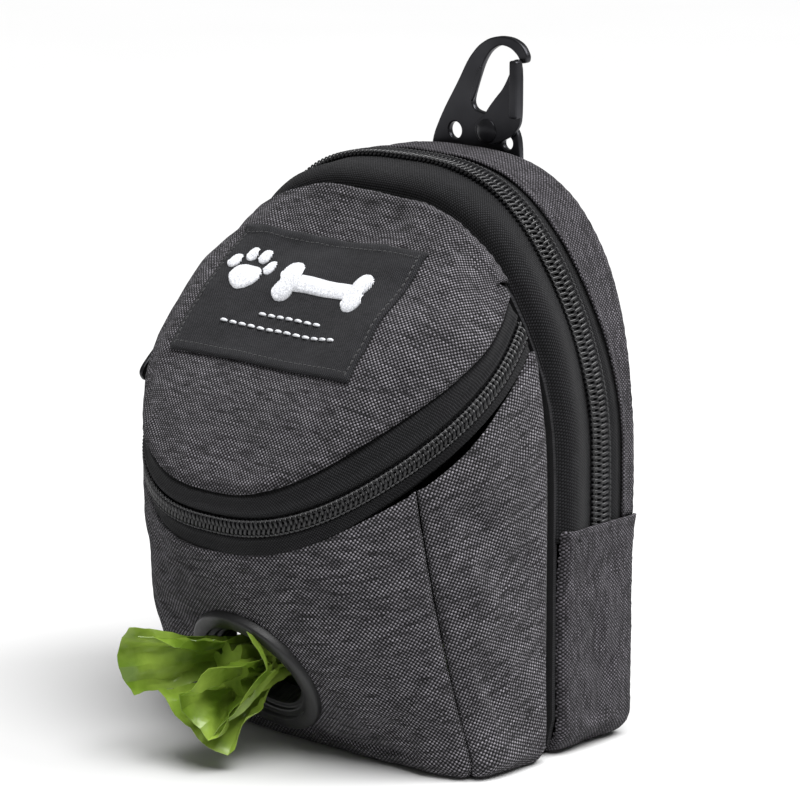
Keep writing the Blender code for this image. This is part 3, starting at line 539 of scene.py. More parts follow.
def unwrapped(obj, rows, columns):
    """Lays the cloth out flat, in millimetres, with its threads straight across the middle."""
    bpy.context.view_layer.objects.active = obj
    for other in bpy.context.selected_objects:
        other.select_set(False)
    obj.select_set(True)
    bpy.ops.object.mode_set(mode="EDIT")
    bpy.ops.mesh.select_all(action="SELECT")
    bpy.ops.uv.unwrap(method="ANGLE_BASED", margin=0.0)
    bpy.ops.object.mode_set(mode="OBJECT")
    mesh = obj.data
    layer = mesh.uv_layers["cloth"]
    uv = np.empty(len(mesh.loops) * 2, np.float32)
    layer.uv.foreach_get("vector", uv)
    uv = uv.reshape(-1, 2)
    index = np.empty(len(mesh.loops), np.int32)
    mesh.loops.foreach_get("vertex_index", index)
    by_vertex = np.zeros((len(mesh.vertices), 2))
    by_vertex[index] = uv
    left = rows // 2 * columns + columns // 4
    right = rows // 2 * columns + columns * 3 // 4
    row = [mesh.vertices[k].co for k in range(left, right + 1)]
    length = sum((b - a).length for a, b in zip(row, row[1:]))
    across = by_vertex[right] - by_vertex[left]
    scale = length / MM / np.linalg.norm(across)
    cosine, sine = across / np.linalg.norm(across)
    turn = np.array([[cosine, -sine], [sine, cosine]])
    layer.uv.foreach_set("vector", ((uv @ turn) * scale).astype(np.float32).ravel())


def settle(obj, held, cap, pressure=3.0, growth=0.012):
    """Lets the cloth swell and crease between its seams, moving no point further than the cap."""
    count = len(obj.data.vertices)
    rest = np.empty(count * 3)
    obj.data.vertices.foreach_get("co", rest)
    rest = rest.reshape(-1, 3)
    group = obj.vertex_groups.new(name="seam")
    for k, weight in enumerate(held.ravel()):
        if weight > 0:
            group.add([k], float(weight), "REPLACE")
    modifier = obj.modifiers.new("settle", "CLOTH")
    cloth = modifier.settings
    cloth.quality = 6
    cloth.mass = 0.2
    cloth.tension_stiffness = 20
    cloth.compression_stiffness = 20
    cloth.shear_stiffness = 8
    cloth.bending_stiffness = 0.4
    cloth.vertex_group_mass = "seam"
    cloth.use_pressure = True
    cloth.uniform_pressure_force = pressure
    cloth.shrink_min = -growth
    cloth.effector_weights.gravity = 0
    for number in range(1, 21):
        bpy.context.scene.frame_set(number)
    settled = obj.evaluated_get(bpy.context.evaluated_depsgraph_get()).data
    moved = np.empty(count * 3)
    settled.vertices.foreach_get("co", moved)
    moved = moved.reshape(-1, 3) - rest
    obj.modifiers.remove(modifier)
    bpy.context.scene.frame_set(1)
    length = np.maximum(np.linalg.norm(moved, axis=1, keepdims=True), 1e-12)
    moved *= cap * np.tanh(length / cap) / length
    obj.data.vertices.foreach_set("co", (rest + moved).ravel())
    obj.vertex_groups.clear()
    obj.data.update()


def panel(name, rows, look, body=None, replaces=(), rolls=(), ridges=(), crown=0.0, creases=0.0,
          cap=0.0, blend=None, thick=CLOTH, flatten=False, slot=None):
    """A piece of cloth through rows of points.

    Rolls are (edge, width, depth) where the edge turns into a seam, and ridges
    are (edge, distance, width, height) where a fold or an allowance lifts it.
    """
    points = np.array(rows, float)
    normals = grid_normals(points)
    away = edge_distances(points)
    lift = np.zeros(points.shape[:2])
    for edge, width, depth in rolls:
        along = away["left"] if edge in ("top", "bottom") else away["top"]
        pucker = 1 + 0.22 * np.sin(along / 0.0031 * math.tau + np.sin(along / 0.011))
        lift -= rolled(away[edge], width, depth) * pucker
    for edge, distance, width, height in ridges:
        lift += height * np.exp(-((away[edge] - distance) / width) ** 2)
    if crown:
        u = away["left"] / (away["left"] + away["right"])
        v = away["top"] / (away["top"] + away["bottom"])
        lift += crown * (1 - (2 * u - 1) ** 4) * (1 - (2 * v - 1) ** 4)
    if creases:
        lift += creases * (uneven(points, 0.020, 3.0) + 0.45 * uneven(points, 0.008, 8.0))
    points = points + normals * lift[..., None]
    across = away["left"] - away["left"][:, points.shape[1] // 2][:, None]
    obj = grid_object(name, points, np.stack([across, away["top"]], 2) / MM)
    if flatten:
        unwrapped(obj, *points.shape[:2])
    if cap:
        nearest = np.minimum.reduce(list(away.values()))
        settle(obj, np.clip(1.3 - nearest / 0.006, 0, 1), cap)
    thickness = obj.modifiers.new("thickness", "SOLIDIFY")
    thickness.thickness = thick
    thickness.offset = -1.0
    final(obj)
    place(obj, look, body, replaces, slot, blend)
    return obj


def tube(points, radius, sides=6, taper=None):
    """Vertices and faces of a closed tube along a line of points."""
    points = np.array(points, float)
    count = len(points)
    ahead = np.gradient(points, axis=0)
    ahead /= np.maximum(np.linalg.norm(ahead, axis=1, keepdims=True), 1e-12)
    side = np.cross(ahead[0], (0.31, 0.52, 0.79))
    side /= np.linalg.norm(side)
    verts = []
    for k in range(count):
        side = side - ahead[k] * side.dot(ahead[k])
        side /= np.linalg.norm(side)
        up = np.cross(ahead[k], side)
        reach = radius * (taper[k] if taper is not None else 1.0)
        for j in range(sides):
            turn = math.tau * j / sides
            verts.append(points[k] + (side * math.cos(turn) + up * math.sin(turn)) * reach)
    faces = []
    for k in range(count - 1):
        for j in range(sides):
            after = (j + 1) % sides
            faces.append((k * sides + j, k * sides + after, (k + 1) * sides + after, (k + 1) * sides + j))
    faces.append(tuple(reversed(range(sides))))
    faces.append(tuple(range((count - 1) * sides, count * sides)))
    return verts, faces


def gathered(name, parts):
    """One object from several (vertices, faces) pairs."""
    verts = []
    faces = []
    for part_verts, part_faces in parts:
        start = len(verts)
        verts += list(part_verts)
        faces += [tuple(start + k for k in face) for face in part_faces]
    return new_object(name, verts, faces)


def stitches(line, normals, pitch, share=0.72, radius=0.00022, lift=0.00015):
    """Separate stitches along a line, each dipping into the cloth at its ends."""
    line = np.array(line, float)
    normals = np.array(normals, float)
    length = np.concatenate([[0], np.cumsum(np.linalg.norm(np.diff(line, axis=0), axis=1))])
    count = max(int(length[-1] / pitch), 1)
    parts = []
    for k in range(count):
        where = (k + 0.5 + share * np.linspace(-0.5, 0.5, 5)) * length[-1] / count
        spot = np.stack([np.interp(where, length, line[:, c]) for c in range(3)], 1)
        out = np.stack([np.interp(where, length, normals[:, c]) for c in range(3)], 1)
        rise = np.array([-0.6, 0.7, 1.0, 0.7, -0.6])[:, None] * lift
        parts.append(tube(spot + out * rise, radius, 5, taper=(0.7, 1, 1, 1, 0.7)))
    return parts


# ---------------------------------------------------------------- rear, base and arch
LID_BLEND = ("pouch", "lid", (0, REAR_Y - SEAM_TOP_DEPTH - SEAM_ROOM, 0), (0, REAR_Y - SEAM_TOP_DEPTH - 0.017, 0))
FLAP_BLEND = ("pouch", "rear_flap", (0, REAR_Y, HEM_Z - 0.004), (0, REAR_Y, HEM_Z + 0.004))


def rear_outline(count=160):
    """(x, z) points round the rear panel, from the left hem down, round the base and over the arch."""
    points = [(-HALF, HEM_Z), (-HALF, HEM_Z / 2)]
    for k in range(9):
        turn = math.radians(180 + 90 * k / 8)
        points.append((-HALF + BASE_CORNER * (1 + math.cos(turn)), BASE_CORNER * (1 + math.sin(turn))))
    points += [(-x, z) for x, z in reversed(points)]
    points += [arch(math.pi * k / 180, HALF, HEIGHT) for k in range(1, 181)]
    return resampled([(x, 0, z) for x, z in points], count)


def rear_panel():
    """The padded rear panel, one cloth from the base to the top of the arch."""
    outline = rear_outline()
    middle = np.array((0, 0, HEIGHT * 0.48))
    rings = 26
    verts = []
    flat = []
    for k in range(rings):
        share = 1 - (k / (rings - 1)) ** 1.25 * 0.94
        for point in outline[:-1]:
            spot = middle + (point - middle) * share
            reach = np.linalg.norm(point - middle) * (1 - share)
            puff = 0.0012 * (1 - share ** 6) + 0.0002 * noise.noise(Vector(spot) / 0.02)
            puff -= float(rolled(np.array(reach), 0.0028, 0.0013))
            verts.append((spot[0], REAR_Y + puff, spot[2]))
            flat.append((spot[0] / MM, spot[2] / MM))
    count = len(outline) - 1
    faces = []
    for k in range(rings - 1):
        for j in range(count):
            after = (j + 1) % count
            faces.append((k * count + j, (k + 1) * count + j, (k + 1) * count + after, k * count + after))
    centre = np.mean(verts[-count:], axis=0)
    verts.append(tuple(centre))
    flat.append((centre[0] / MM, centre[2] / MM))
    last = (rings - 1) * count
    faces += [(last + j, rings * count, last + (j + 1) % count) for j in range(count)]
    obj = new_object("rear_panel", verts, faces)
    if sum(p.normal.y * p.area for p in obj.data.polygons) < 0:
        obj.data.flip_normals()
    layer = obj.data.uv_layers.new(name="cloth")
    for loop, item in zip(obj.data.loops, layer.uv):
        item.vector = flat[loop.vertex_index]
    thickness = obj.modifiers.new("thickness", "SOLIDIFY")
    thickness.thickness = 0.0022
    thickness.offset = -1.0
    final(obj)
    place(obj, "fine_fabric", None, ("back_panel_upper", "back_panel_lower"), blend=FLAP_BLEND)


def base_line(depth, count=150, grown=0.0):
    """A line down the left side, along the base and up the right side."""
    points = [(-HALF - grown, HEM_Z), (-HALF - grown, HEM_Z / 2)]
    for k in range(13):
        turn = math.radians(180 + 90 * k / 12)
        points.append((-HALF + BASE_CORNER + (BASE_CORNER + grown) * math.cos(turn),
                       BASE_CORNER * (1 + math.sin(turn))))
    points += [(-x, z) for x, z in reversed(points)]
    return resampled([at(x, depth, z) for x, z in points], count)


def base_cloth():
    """The base gusset, whose folded top edge covers the ends of the main zipper."""
    rows = [base_line((SEAM_DEPTH + 0.0003) * k / 28, 190) for k in range(29)]
    hem = [(side, 0.0, 0.0022, 0.0011) for side in ("left", "right")]
    hem += [(side, 0.0045, 0.0040, 0.0006) for side in ("left", "right")]
    obj = panel("base_cloth", rows, "fine_fabric", "pouch", ("base_gusset", "hem_left", "hem_right"),
                rolls=(("top", 0.0025, 0.0011), ("bottom", 0.0032, 0.0022)), ridges=hem, crown=0.0004,
                creases=0.00035, cap=0.0012)
    low = min(v.co.z for v in obj.data.vertices)
    if low < 0:
        for vertex in obj.data.vertices:
            vertex.co.z = max(vertex.co.z, 0.0)


def arch_rows(near, far, count, out_near=0.0, out_far=0.0, drop=0.0, under=0.003):
    """Rows from one leaning line to another."""
    rows = []
    for k in range(count + 1):
        share = k / count
        ends = tuple(a + (b - a) * share for a, b in zip(near, far))
        out = out_near + (out_far - out_near) * share
        rows.append(arch_line(ends, out, drop * share ** 2, under))
    return rows


def arch_pieces():
    """The fabric arch, the two tapes of the main zipper and the seam in front of them."""
    rear = (0.0, 0.0)
    fold = ("bottom", 0.0006, 0.0007, 0.0005)
    panel("arch_cloth", arch_rows(rear, GUSSET_EDGE, 22, under=0.0), "fine_fabric", "rear_flap", ("arch_gusset",),
          rolls=(("top", 0.0025, 0.0011),), ridges=(fold,), creases=0.00030, cap=0.0008)
    shown = GUSSET_EDGE[0] - 0.0012, GUSSET_EDGE[1] - 0.0012
    panel("rear_tape", arch_rows(shown, (COIL_MIDDLE[0] - 0.0002, COIL_MIDDLE[1] - 0.0002), 16, -0.0009, -0.0013),
          "black_tape", "rear_flap", ("main_tape_rear",), ridges=(("top", 0.0028, 0.0012, 0.0004),), thick=TAPE)
    near = COIL_MIDDLE[0] + 0.0002, COIL_MIDDLE[1] + 0.0002
    far = SEAM_DEPTH + 0.0008, SEAM_TOP_DEPTH + 0.0008
    ridges = (("bottom", 0.0055, 0.0036, 0.0015), ("bottom", 0.0, 0.0018, -0.0024))
    panel("front_tape", arch_rows(near, far, 32, -0.0013, -0.0003, 0.007), "black_tape", "pouch",
          ("main_tape_front",), ridges=ridges, creases=0.00035, thick=TAPE)
    points = [at(-FRONT_HALF, SEAM_DEPTH, 0.0025), at(-FRONT_HALF, SEAM_DEPTH, HEM_Z / 2)]
    for k in range(241):
        x, z = arch(math.pi * (1 - k / 240), FRONT_HALF, FRONT_TOP)
        points.append(at(x, seam_depth(z), z))
    points += [at(FRONT_HALF, SEAM_DEPTH, HEM_Z / 2), at(FRONT_HALF, SEAM_DEPTH, 0.0025)]
    line = resampled(points, 260) + np.array((0, -SEAM_ROOM * 0.62, 0))
    sunk = 0.0054
    line[:, 0] *= 1 - sunk / HALF
    line[:, 2] -= np.where(line[:, 2] > HEM_Z, sunk * (line[:, 2] - HEM_Z) / (HEIGHT - HEM_Z), 0)
    welt = gathered("front_welt", [tube(line, 0.0015, 10)])
    place(welt, "black_thread", "pouch", ("front_piping",), slot="black_tape")


# ---------------------------------------------------------------- zipper coils
def helix(line, across, out, reach, height, pitch, phase, overlap=0.0004):
    """The line of a flattened coil between the zipper's middle and the tape."""
    length = np.concatenate([[0], np.cumsum(np.linalg.norm(np.diff(line, axis=0), axis=1))])
    turns = int(length[-1] / pitch)
    turn = np.linspace(0, turns, turns * 10 + 1)
    where = turn * length[-1] / turns
    spots = []
    for source in (line, across, out):
        spots.append(np.stack([np.interp(where, length, source[:, k]) for k in range(3)], 1))
    angle = math.tau * turn + phase
    sideways = (reach - overlap) / 2 + (reach + overlap) / 2 * np.cos(angle)
    return spots[0] + spots[1] * sideways[:, None] + spots[2] * (height * np.sin(angle))[:, None]


def coil_pair(names, bodies, replaced, line, across, out, reach, pitch, wire, blends=(None, None)):
    """Two interlocked coils, with the thread that sews each to its tape."""
    for k, sign in enumerate((1, -1)):
        turns = helix(line, across * sign, out, reach - wire, 0.00075, pitch, math.pi * k)
        parts = [tube(turns, wire, 7)]
        core = line + across * sign * reach * 0.5
        parts.append(tube(core, 0.0005, 6))
        obj = gathered(names[k], parts)
        place(obj, "black_coil", bodies[k], (replaced[k],), blend=blends[k])
        seam = line + across * sign * (reach - 0.0004) + out * 0.00075
        sewn = gathered(names[k] + "_thread", stitches(seam, out, pitch, 0.8, 0.00020, 0.0002))
        place(sewn, "black_thread", bodies[k], slot="black_tape", blend=blends[k])


def unit(vectors):
    return vectors / np.maximum(np.linalg.norm(vectors, axis=1, keepdims=True), 1e-12)


def main_coils():
    line = arch_line(COIL_MIDDLE, -0.0006, 0.0, 0.002, 420)
    inner = arch_line(COIL_MIDDLE, -0.0030, 0.0, 0.002, 420)
    out = unit(line - inner)
    across = unit(np.cross(np.gradient(line, axis=0), out))
    if across[:, 1].sum() < 0:
        across = -across
    coil_pair(("main_coil_rear_turns", "main_coil_front_turns"), ("rear_flap", "pouch"),
              ("main_coil_rear", "main_coil_front"), line, across, out, MAIN_COIL_HALF, 0.00142, 0.00047)


def lid_coils():
    angles = np.linspace(-QUARTER, QUARTER, 500)
    line = resampled([band_line(a, 0.0, -0.0005) for a in angles], 420)
    upper = resampled([band_line(a, 0.001, -0.0005) for a in angles], 420)
    across = unit(upper - line)
    out = unit(np.cross(np.gradient(line, axis=0), across))
    if (out * (line - INSIDE)).sum() < 0:
        out = -out
    coil_pair(("lid_coil_upper_turns", "lid_coil_lower_turns"), ("lid", "pouch"),
              ("lid_coil_upper", "lid_coil_lower"), line, across, out, LID_COIL_HALF + 0.0003, 0.00136, 0.00045,
              (LID_BLEND, None))


# ---------------------------------------------------------------- pocket and lid
def band_rows(high, low, count, proud):
    """Rows of the zipper band from one offset to another, proud of its line by a profile."""
    rows = []
    for k in range(count + 1):
        offset = high + (low - high) * k / count
        rows.append(resampled([band_line(a, offset, proud(offset)) for a in np.linspace(-QUARTER, QUARTER, 160)], 130))
    return rows


def lid_tapes():
    """The zipper's two tapes: the upper one is folded over the coil's edge."""
    def upper(offset):
        fold = math.exp(-((offset - LID_COIL_HALF - 0.0013) / 0.0009) ** 2) * 0.0007
        dive = ease((offset - LID_HEM + 0.0016) / 0.0020) * 0.0022
        return fold - 0.0006 - dive if offset > LID_COIL_HALF + 0.0004 else -0.0010

    def lower(offset):
        fold = math.exp(-((offset + LID_COIL_HALF + 0.0012) / 0.0009) ** 2) * 0.0004
        dive = ease((-offset - LOWER_TAPE + 0.0004) / 0.0014) * 0.0012
        return fold - 0.0006 - dive if offset < -LID_COIL_HALF - 0.0004 else -0.0010

    panel("lid_tape_top", band_rows(LID_HEM + 0.0012, 0.0002, 22, upper), "black_tape", None, ("lid_tape_upper",),
          thick=TAPE, blend=LID_BLEND, creases=0.00012)
    panel("lid_tape_bottom", band_rows(-0.0002, -LOWER_TAPE - 0.0012, 20, lower), "black_tape", "pouch",
          ("lid_tape_lower",), thick=TAPE, creases=0.00012)


def lid_cloth():
    """The lid's cloth, crowned between the front seam and the zipper band."""
    rows = []
    for k in range(31):
        rows.append(resampled([lid_point(a, k / 30) for a in np.linspace(-QUARTER, QUARTER, 160)], 110))
    back = [rows[0] + np.array((0, SEAM_ROOM + 0.0014, 0)) * k / 5 for k in range(5, 0, -1)]
    obj = panel("lid_cloth", back + rows, "grey_fabric", None, ("lid_panel",), blend=LID_BLEND, flatten=True,
                rolls=(("top", 0.0040, 0.0024), ("bottom", 0.0012, 0.0006)),
                ridges=(("bottom", 0.0022, 0.0016, 0.0004),), creases=0.00100, cap=0.0022)
    return obj


def pocket_cloth():
    """The pocket's front and side panels, which meet in a sewn edge."""
    split = math.radians(0.15)
    spans = (("pocket_front_cloth", -PANEL_SPLIT + split, PANEL_SPLIT - split, 96, "pocket_front"),
             ("pocket_left_cloth", -QUARTER, -PANEL_SPLIT - split, 44, "pocket_side_left"),
             ("pocket_right_cloth", PANEL_SPLIT + split, QUARTER, 44, "pocket_side_right"))
    shares = [k / 30 for k in range(31)] + [1 + k / 6 for k in range(1, 7)]
    for name, start, end, columns, node in spans:
        rows = [resampled([pocket_point(a, share) for a in np.linspace(start, end, 90)], columns)
                for share in shares]
        sides = [("top", 0.0012, 0.0006)]
        if end < QUARTER:
            sides.append(("right", 0.0026, 0.0011))
        else:
            sides.append(("right", 0.0036, 0.0024))
            rows = [np.vstack([row] + [row[-1:] + (0, SEAM_ROOM * k / 5, 0) for k in range(1, 6)]) for row in rows]
        if start > -QUARTER:
            sides.append(("left", 0.0026, 0.0011))
        else:
            sides.append(("left", 0.0036, 0.0024))
            rows = [np.vstack([row[:1] + (0, SEAM_ROOM * k / 5, 0) for k in range(5, 0, -1)] + [row]) for row in rows]
        obj = panel(name, rows, "grey_fabric", "pouch", (node,), rolls=sides, creases=0.00095, cap=0.0018,
                    flatten=True)
        if name == "pocket_front_cloth":
            cut_outlet(obj)


def cut_outlet(obj):
    """Cuts the hole for the outlet into the pocket's cloth."""
    point, facing = outlet_place()
    bm = bmesh.new()
    turn = facing.to_track_quat("Z", "Y").to_matrix().to_4x4()
    bmesh.ops.create_cone(bm, cap_ends=True, segments=64, radius1=OUTLET_HOLE_R, radius2=OUTLET_HOLE_R, depth=0.03,
                          matrix=Matrix.Translation(point) @ turn)
    cutter = from_bmesh("outlet_cutter", bm)
    cut = obj.modifiers.new("outlet", "BOOLEAN")
    cut.operation = "DIFFERENCE"
    cut.solver = "EXACT"
    cut.object = cutter
    final(obj)
    bpy.data.objects.remove(cutter)


# ---------------------------------------------------------------- label
SLOPE_DOWN = Vector((0, -math.cos(LID_SLOPE), -math.sin(LID_SLOPE)))
SLOPE_OUT = Vector((0, -math.sin(LID_SLOPE), math.cos(LID_SLOPE)))


def slope_reach(point):
    return SLOPE_DOWN.dot(point)


class LidSurface:
    """Finds points on the finished lid cloth from a place on its slope."""

    def __init__(self, obj):
        self.tree = BVHTree.FromPolygons([v.co for v in obj.data.vertices],
                                         [tuple(p.vertices) for p in obj.data.polygons])

    def at(self, x, reach, lift=0.0):
        start = Vector((x, 0, 0)) + SLOPE_DOWN * reach + SLOPE_OUT * 0.5
        spot, normal, _, _ = self.tree.ray_cast(start, -SLOPE_OUT)
        if normal.dot(SLOPE_OUT) < 0:
            normal = -normal
        return spot + normal * lift, normal


def label(surface):
    """The woven label, with its folded edges, sewn line and embroidered motif."""
    first, last = (slope_reach(lid_point(0, share)) for share in LABEL_SPAN)
    half = LABEL_WIDTH / 2
    rows = []
    for k in range(41):
        reach = first + (last - first) * k / 40
        row = []
        for j in range(61):
            spot, normal = surface.at(LABEL_WIDTH * (j / 60 - 0.5), reach)
            row.append(spot + normal * 0.0008)
        rows.append(row)
    folds = [("top", 0.0012, 0.0013, 0.0004), ("bottom", 0.0012, 0.0013, 0.0004)]
    obj = panel("label_patch_cloth", rows, "label_cloth", None, ("label_patch",), ridges=folds, thick=0.0006,
                blend=LID_BLEND, rolls=(("top", 0.0007, 0.0003), ("bottom", 0.0007, 0.0003)))
    inset = 0.0024
    parts = []
    for reach in (first + inset, last - inset):
        spots = [surface.at(x, reach, 0.0009) for x in np.linspace(-half + 0.001, half - 0.001, 80)]
        parts += stitches([s for s, _ in spots], [n for _, n in spots], 0.0017, 0.75, 0.00016)
    for x in (-half + 0.0012, half - 0.0012):
        spots = [surface.at(x, reach, 0.0009) for reach in np.linspace(first + 0.001, last - 0.001, 60)]
        parts += stitches([s for s, _ in spots], [n for _, n in spots], 0.0017, 0.75, 0.00016)
    place(gathered("label_stitches", parts), "black_thread", None, slot="label_cloth", blend=LID_BLEND)
    motif(surface, (first + last) / 2)


def in_circle(x, y, centre, radius, squeeze=1.0):
    return ((x - centre[0]) / squeeze) ** 2 + (y - centre[1]) ** 2 < radius ** 2


def in_bone(x, y):
    if abs(x) < 9.6 and abs(y) < 2.1:
        return True
    return any(in_circle(abs(x), abs(y), (10.4, side), 2.9) for side in (2.2,))


def in_paw(x, y):
    pad = in_circle(x, y + 1.7 * abs(x) / 9, (0, 2.1), 3.3, 1.25)
    toes = ((-5.2, -1.7), (-1.9, -4.3), (1.9, -4.3), (5.2, -1.7))
    return pad or any(in_circle(x, y, toe, 2.0, 0.78) for toe in toes)


def satin(shape, half_width, half_height, pitch=0.30, tilt=0.35):
    """(start, end) pairs of the parallel threads that fill a shape, in millimetres."""
    runs = []
    for line in np.arange(-half_width - half_height, half_width + half_height, pitch):
        inside = []
        for y in np.arange(-half_height, half_height + 0.05, 0.1):
            x = line + tilt * y
            if shape(x, y):
                inside.append((x, y))
            elif len(inside) > 2:
                runs.append((inside[0], inside[-1]))
                inside = []
            else:
                inside = []
        if len(inside) > 2:
            runs.append((inside[0], inside[-1]))
    return runs


def motif(surface, middle):
    """A paw and a bone in satin stitch, with two plain running lines under them."""
    parts = []
    shapes = ((in_paw, 8, 8, (-20.0, -5.5), 1.15), (in_bone, 14, 6, (6.5, -4.5), 1.15))
    for shape, half_width, half_height, (dx, dy), size in shapes:
        for start, end in satin(shape, half_width, half_height):
            spots = []
            for share in np.linspace(0, 1, 6):
                x = (start[0] + (end[0] - start[0]) * share) * size + dx
                y = (start[1] + (end[1] - start[1]) * share) * size + dy
                lift = 0.0009 + 0.00045 * math.sin(math.pi * share)
                spots.append(surface.at(x * MM, middle + y * MM, lift)[0])
            parts.append(tube(spots, 0.00019, 5))
    for reach_mm, start_mm, end_mm in ((6.0, -9.0, 13.0), (10.0, -19.0, 21.0)):
        spots = [surface.at(x * MM, middle + reach_mm * MM, 0.0010) for x in np.linspace(start_mm, end_mm, 60)]
        parts += stitches([s for s, _ in spots], [n for _, n in spots], 0.0030, 0.66, 0.00042, 0.0002)
    place(gathered("label_motif", parts), "white_thread", None, slot="label_cloth", blend=LID_BLEND)


# ---------------------------------------------------------------- outlet, roll and bag
def lathe(name, profile, centre, axis, steps=96, ribs=0, rib_depth=0.0, rib_span=(0, 0)):
    """A closed profile of (radius, height) pairs turned round the axis."""
    turn = Vector(axis).to_track_quat("Z", "Y").to_matrix()
    verts = []
    for k in range(steps):
        angle = math.tau * k / steps
        for radius, height in profile:
            if ribs and rib_span[0] <= height <= rib_span[1] and radius < OUTLET_BORE_R + 0.001:
                radius += rib_depth * (0.5 + 0.5 * math.cos(ribs * angle))
            verts.append(Vector(centre) + turn @ Vector((radius * math.cos(angle), radius * math.sin(angle), height)))
    count = len(profile)
    faces = []
    for k in range(steps):
        following = (k + 1) % steps
        for j in range(count):
            after = (j + 1) % count
            faces.append((k * count + j, following * count + j, following * count + after, k * count + after))
    bm = bmesh.new()
    made = [bm.verts.new(v) for v in verts]
    for face in faces:
        bm.faces.new([made[k] for k in face])
    bmesh.ops.remove_doubles(bm, verts=bm.verts, dist=1e-7)
    bmesh.ops.recalc_face_normals(bm, faces=bm.faces)
    return sharpened(from_bmesh(name, bm), 32)


def outlet():
    """The moulded outlet: a broad flange, two steps down and a ribbed bore."""
    point, facing = outlet_place()
    r = OUTLET_R / MM
    b = OUTLET_BORE_R / MM
    profile_mm = [(b + 0.2, -6.0), (15.3, -6.0), (15.3, 0.2), (r - 0.3, 0.2), (r, 0.5), (r, 2.1), (r - 0.25, 2.6),
                  (r - 0.7, 2.9), (16.2, 3.0), (15.7, 2.8), (15.5, 2.4), (15.4, 1.8), (15.0, 1.6), (14.2, 1.55),
                  (13.9, 1.3), (13.8, 0.6), (13.5, 0.4), (b + 0.5, 0.4), (b + 0.15, 0.2), (b, -0.2), (b, -1.2),
                  (b, -3.0), (b, -4.8)]
    profile = [(radius * MM, height * MM) for radius, height in profile_mm]
    ring = lathe("outlet_moulding", profile, point, facing, 240, 40, 0.0003, (-0.0049, -0.0011))
    place(ring, "black_moulding", "pouch", ("outlet_ring",))


def crinkled(verts, amount, size, seed):
    return [v + noise.noise_vector(v / size + Vector((seed, 0, 0))) * amount
            + noise.noise_vector(v / (size / 3) + Vector((0, seed, 0))) * amount * 0.4 for v in verts]


def film_fan(name, root, tips, folds, depth, seed):
    """A sheet of film folded like a fan, from two points in the bore to the line of its outer edge."""
    point, _ = outlet_place()
    columns, rows = folds * 6 + 1, 18
    tips = resampled(tips, columns)
    root = resampled(root, columns)
    share = np.linspace(0, 1, rows)[:, None, None]
    points = root[None] * (1 - share) + tips[None] * share
    points = np.stack([points[..., 0], -points[..., 1], points[..., 2]], 2) * MM + np.array(point)
    normals = np.cross(np.gradient(points, axis=0), np.gradient(points, axis=1))
    normals /= np.maximum(np.linalg.norm(normals, axis=2, keepdims=True), 1e-12)
    across = np.linspace(0, folds, columns)[None, :] + 0.25 * np.sin(share[..., 0] * 5 + seed)
    wave = 2 * np.abs(2 * (across + seed - np.floor(across + seed)) - 1) - 1
    swell = 0.25 + 0.75 * np.sin(math.pi * np.clip(share[..., 0] * 0.85, 0, 1))
    points = points + normals * (wave * swell * depth)[..., None]
    crumple = crinkled([Vector(p) for p in points.reshape(-1, 3)], 0.0010, 0.009, seed)
    points = np.array([tuple(p) for p in crumple]).reshape(rows, columns, 3)
    obj = grid_object(name, points, np.stack([points[..., 0], points[..., 2]], 2) / MM)
    thickness = obj.modifiers.new("thickness", "SOLIDIFY")
    thickness.thickness = 0.00012
    final(obj)
    return sharpened(obj, 28)


FILM_FANS_MM = {
    "tail_film_back": (((-7, 1, 6), (-8, 1, -3)), ((-14, 33, 14.5), (-18, 33, 6), (-15.5, 30, -4.5)), 2, 0.0014),
    "tail_film_upper": (((-2, 1, 7), (-6, 1, 3)), ((-1.5, 14, 10.5), (-6, 24, 9), (-12, 30, 12)), 2, 0.0012),
    "tail_film_middle": (((4, 1, 4), (-3, 1, -3)), ((10, 6, 4), (11, 18, 7.5), (5, 24, 4), (0, 28, -1)), 2,
                         0.0018),
    "tail_film_front": (((3, 1, 1), (-3, 1, -5)), ((10, 6, 2), (7, 16, -6), (4.5, 22, -14), (0, 25, -8),
                                                   (-1, 28, -1)), 3, 0.0016),
    "tail_film_strip": (((6, 1, 5), (7, 1, 0)), ((9, 13, 14), (13, 11, 4), (9.5, 16, -4), (3.5, 20, -13)), 2,
                        0.0010),
    "tail_film_low": (((-5, 1, -3), (-1, 1, -6)), ((-11, 26, -3), (-4, 24, -10), (1, 20, -16)), 2, 0.0014),
    "tail_film_tip": (((0, 1, -6), (5, 1, -4)), ((1, 20, -16), (5.5, 16, -18), (6, 11, -10)), 1, 0.0012),
}


def bag_tail():
    """The loose end of a bag: folded sheets bunched together in the outlet."""
    for k, (name, (root, tips, folds, depth)) in enumerate(FILM_FANS_MM.items()):
        obj = film_fan(name, root, tips, folds, depth, 2.7 * k + 1)
        place(obj, "green_film", "tail", ("waste_bag_tail",) if k == 0 else ())
    point, _ = outlet_place()
    neck = [Vector((0, REAR_Y - 0.0615, 0.0205)), point + Vector((0, 0.002, 0)), point + Vector((-0.001, -0.004, 0)),
            point + Vector((-0.002, -0.009, 0.0005))]
    line = resampled(neck, 16)
    verts, faces = tube(line, 1.0, 40, taper=[0.0016 + 0.0052 * ease(k / 15) for k in range(16)])
    folded = []
    for k, vertex in enumerate(verts):
        middle = line[k // 40]
        fold = 1 + 0.28 * math.sin(math.tau * (k % 40) / 40 * 7 + 0.08 * (k // 40))
        folded.append(Vector(middle + (vertex - middle) * fold))
    obj = new_object("tail_neck", crinkled(folded, 0.0004, 0.004, 5.0), faces)
    place(sharpened(obj, 50), "green_film", "tail")


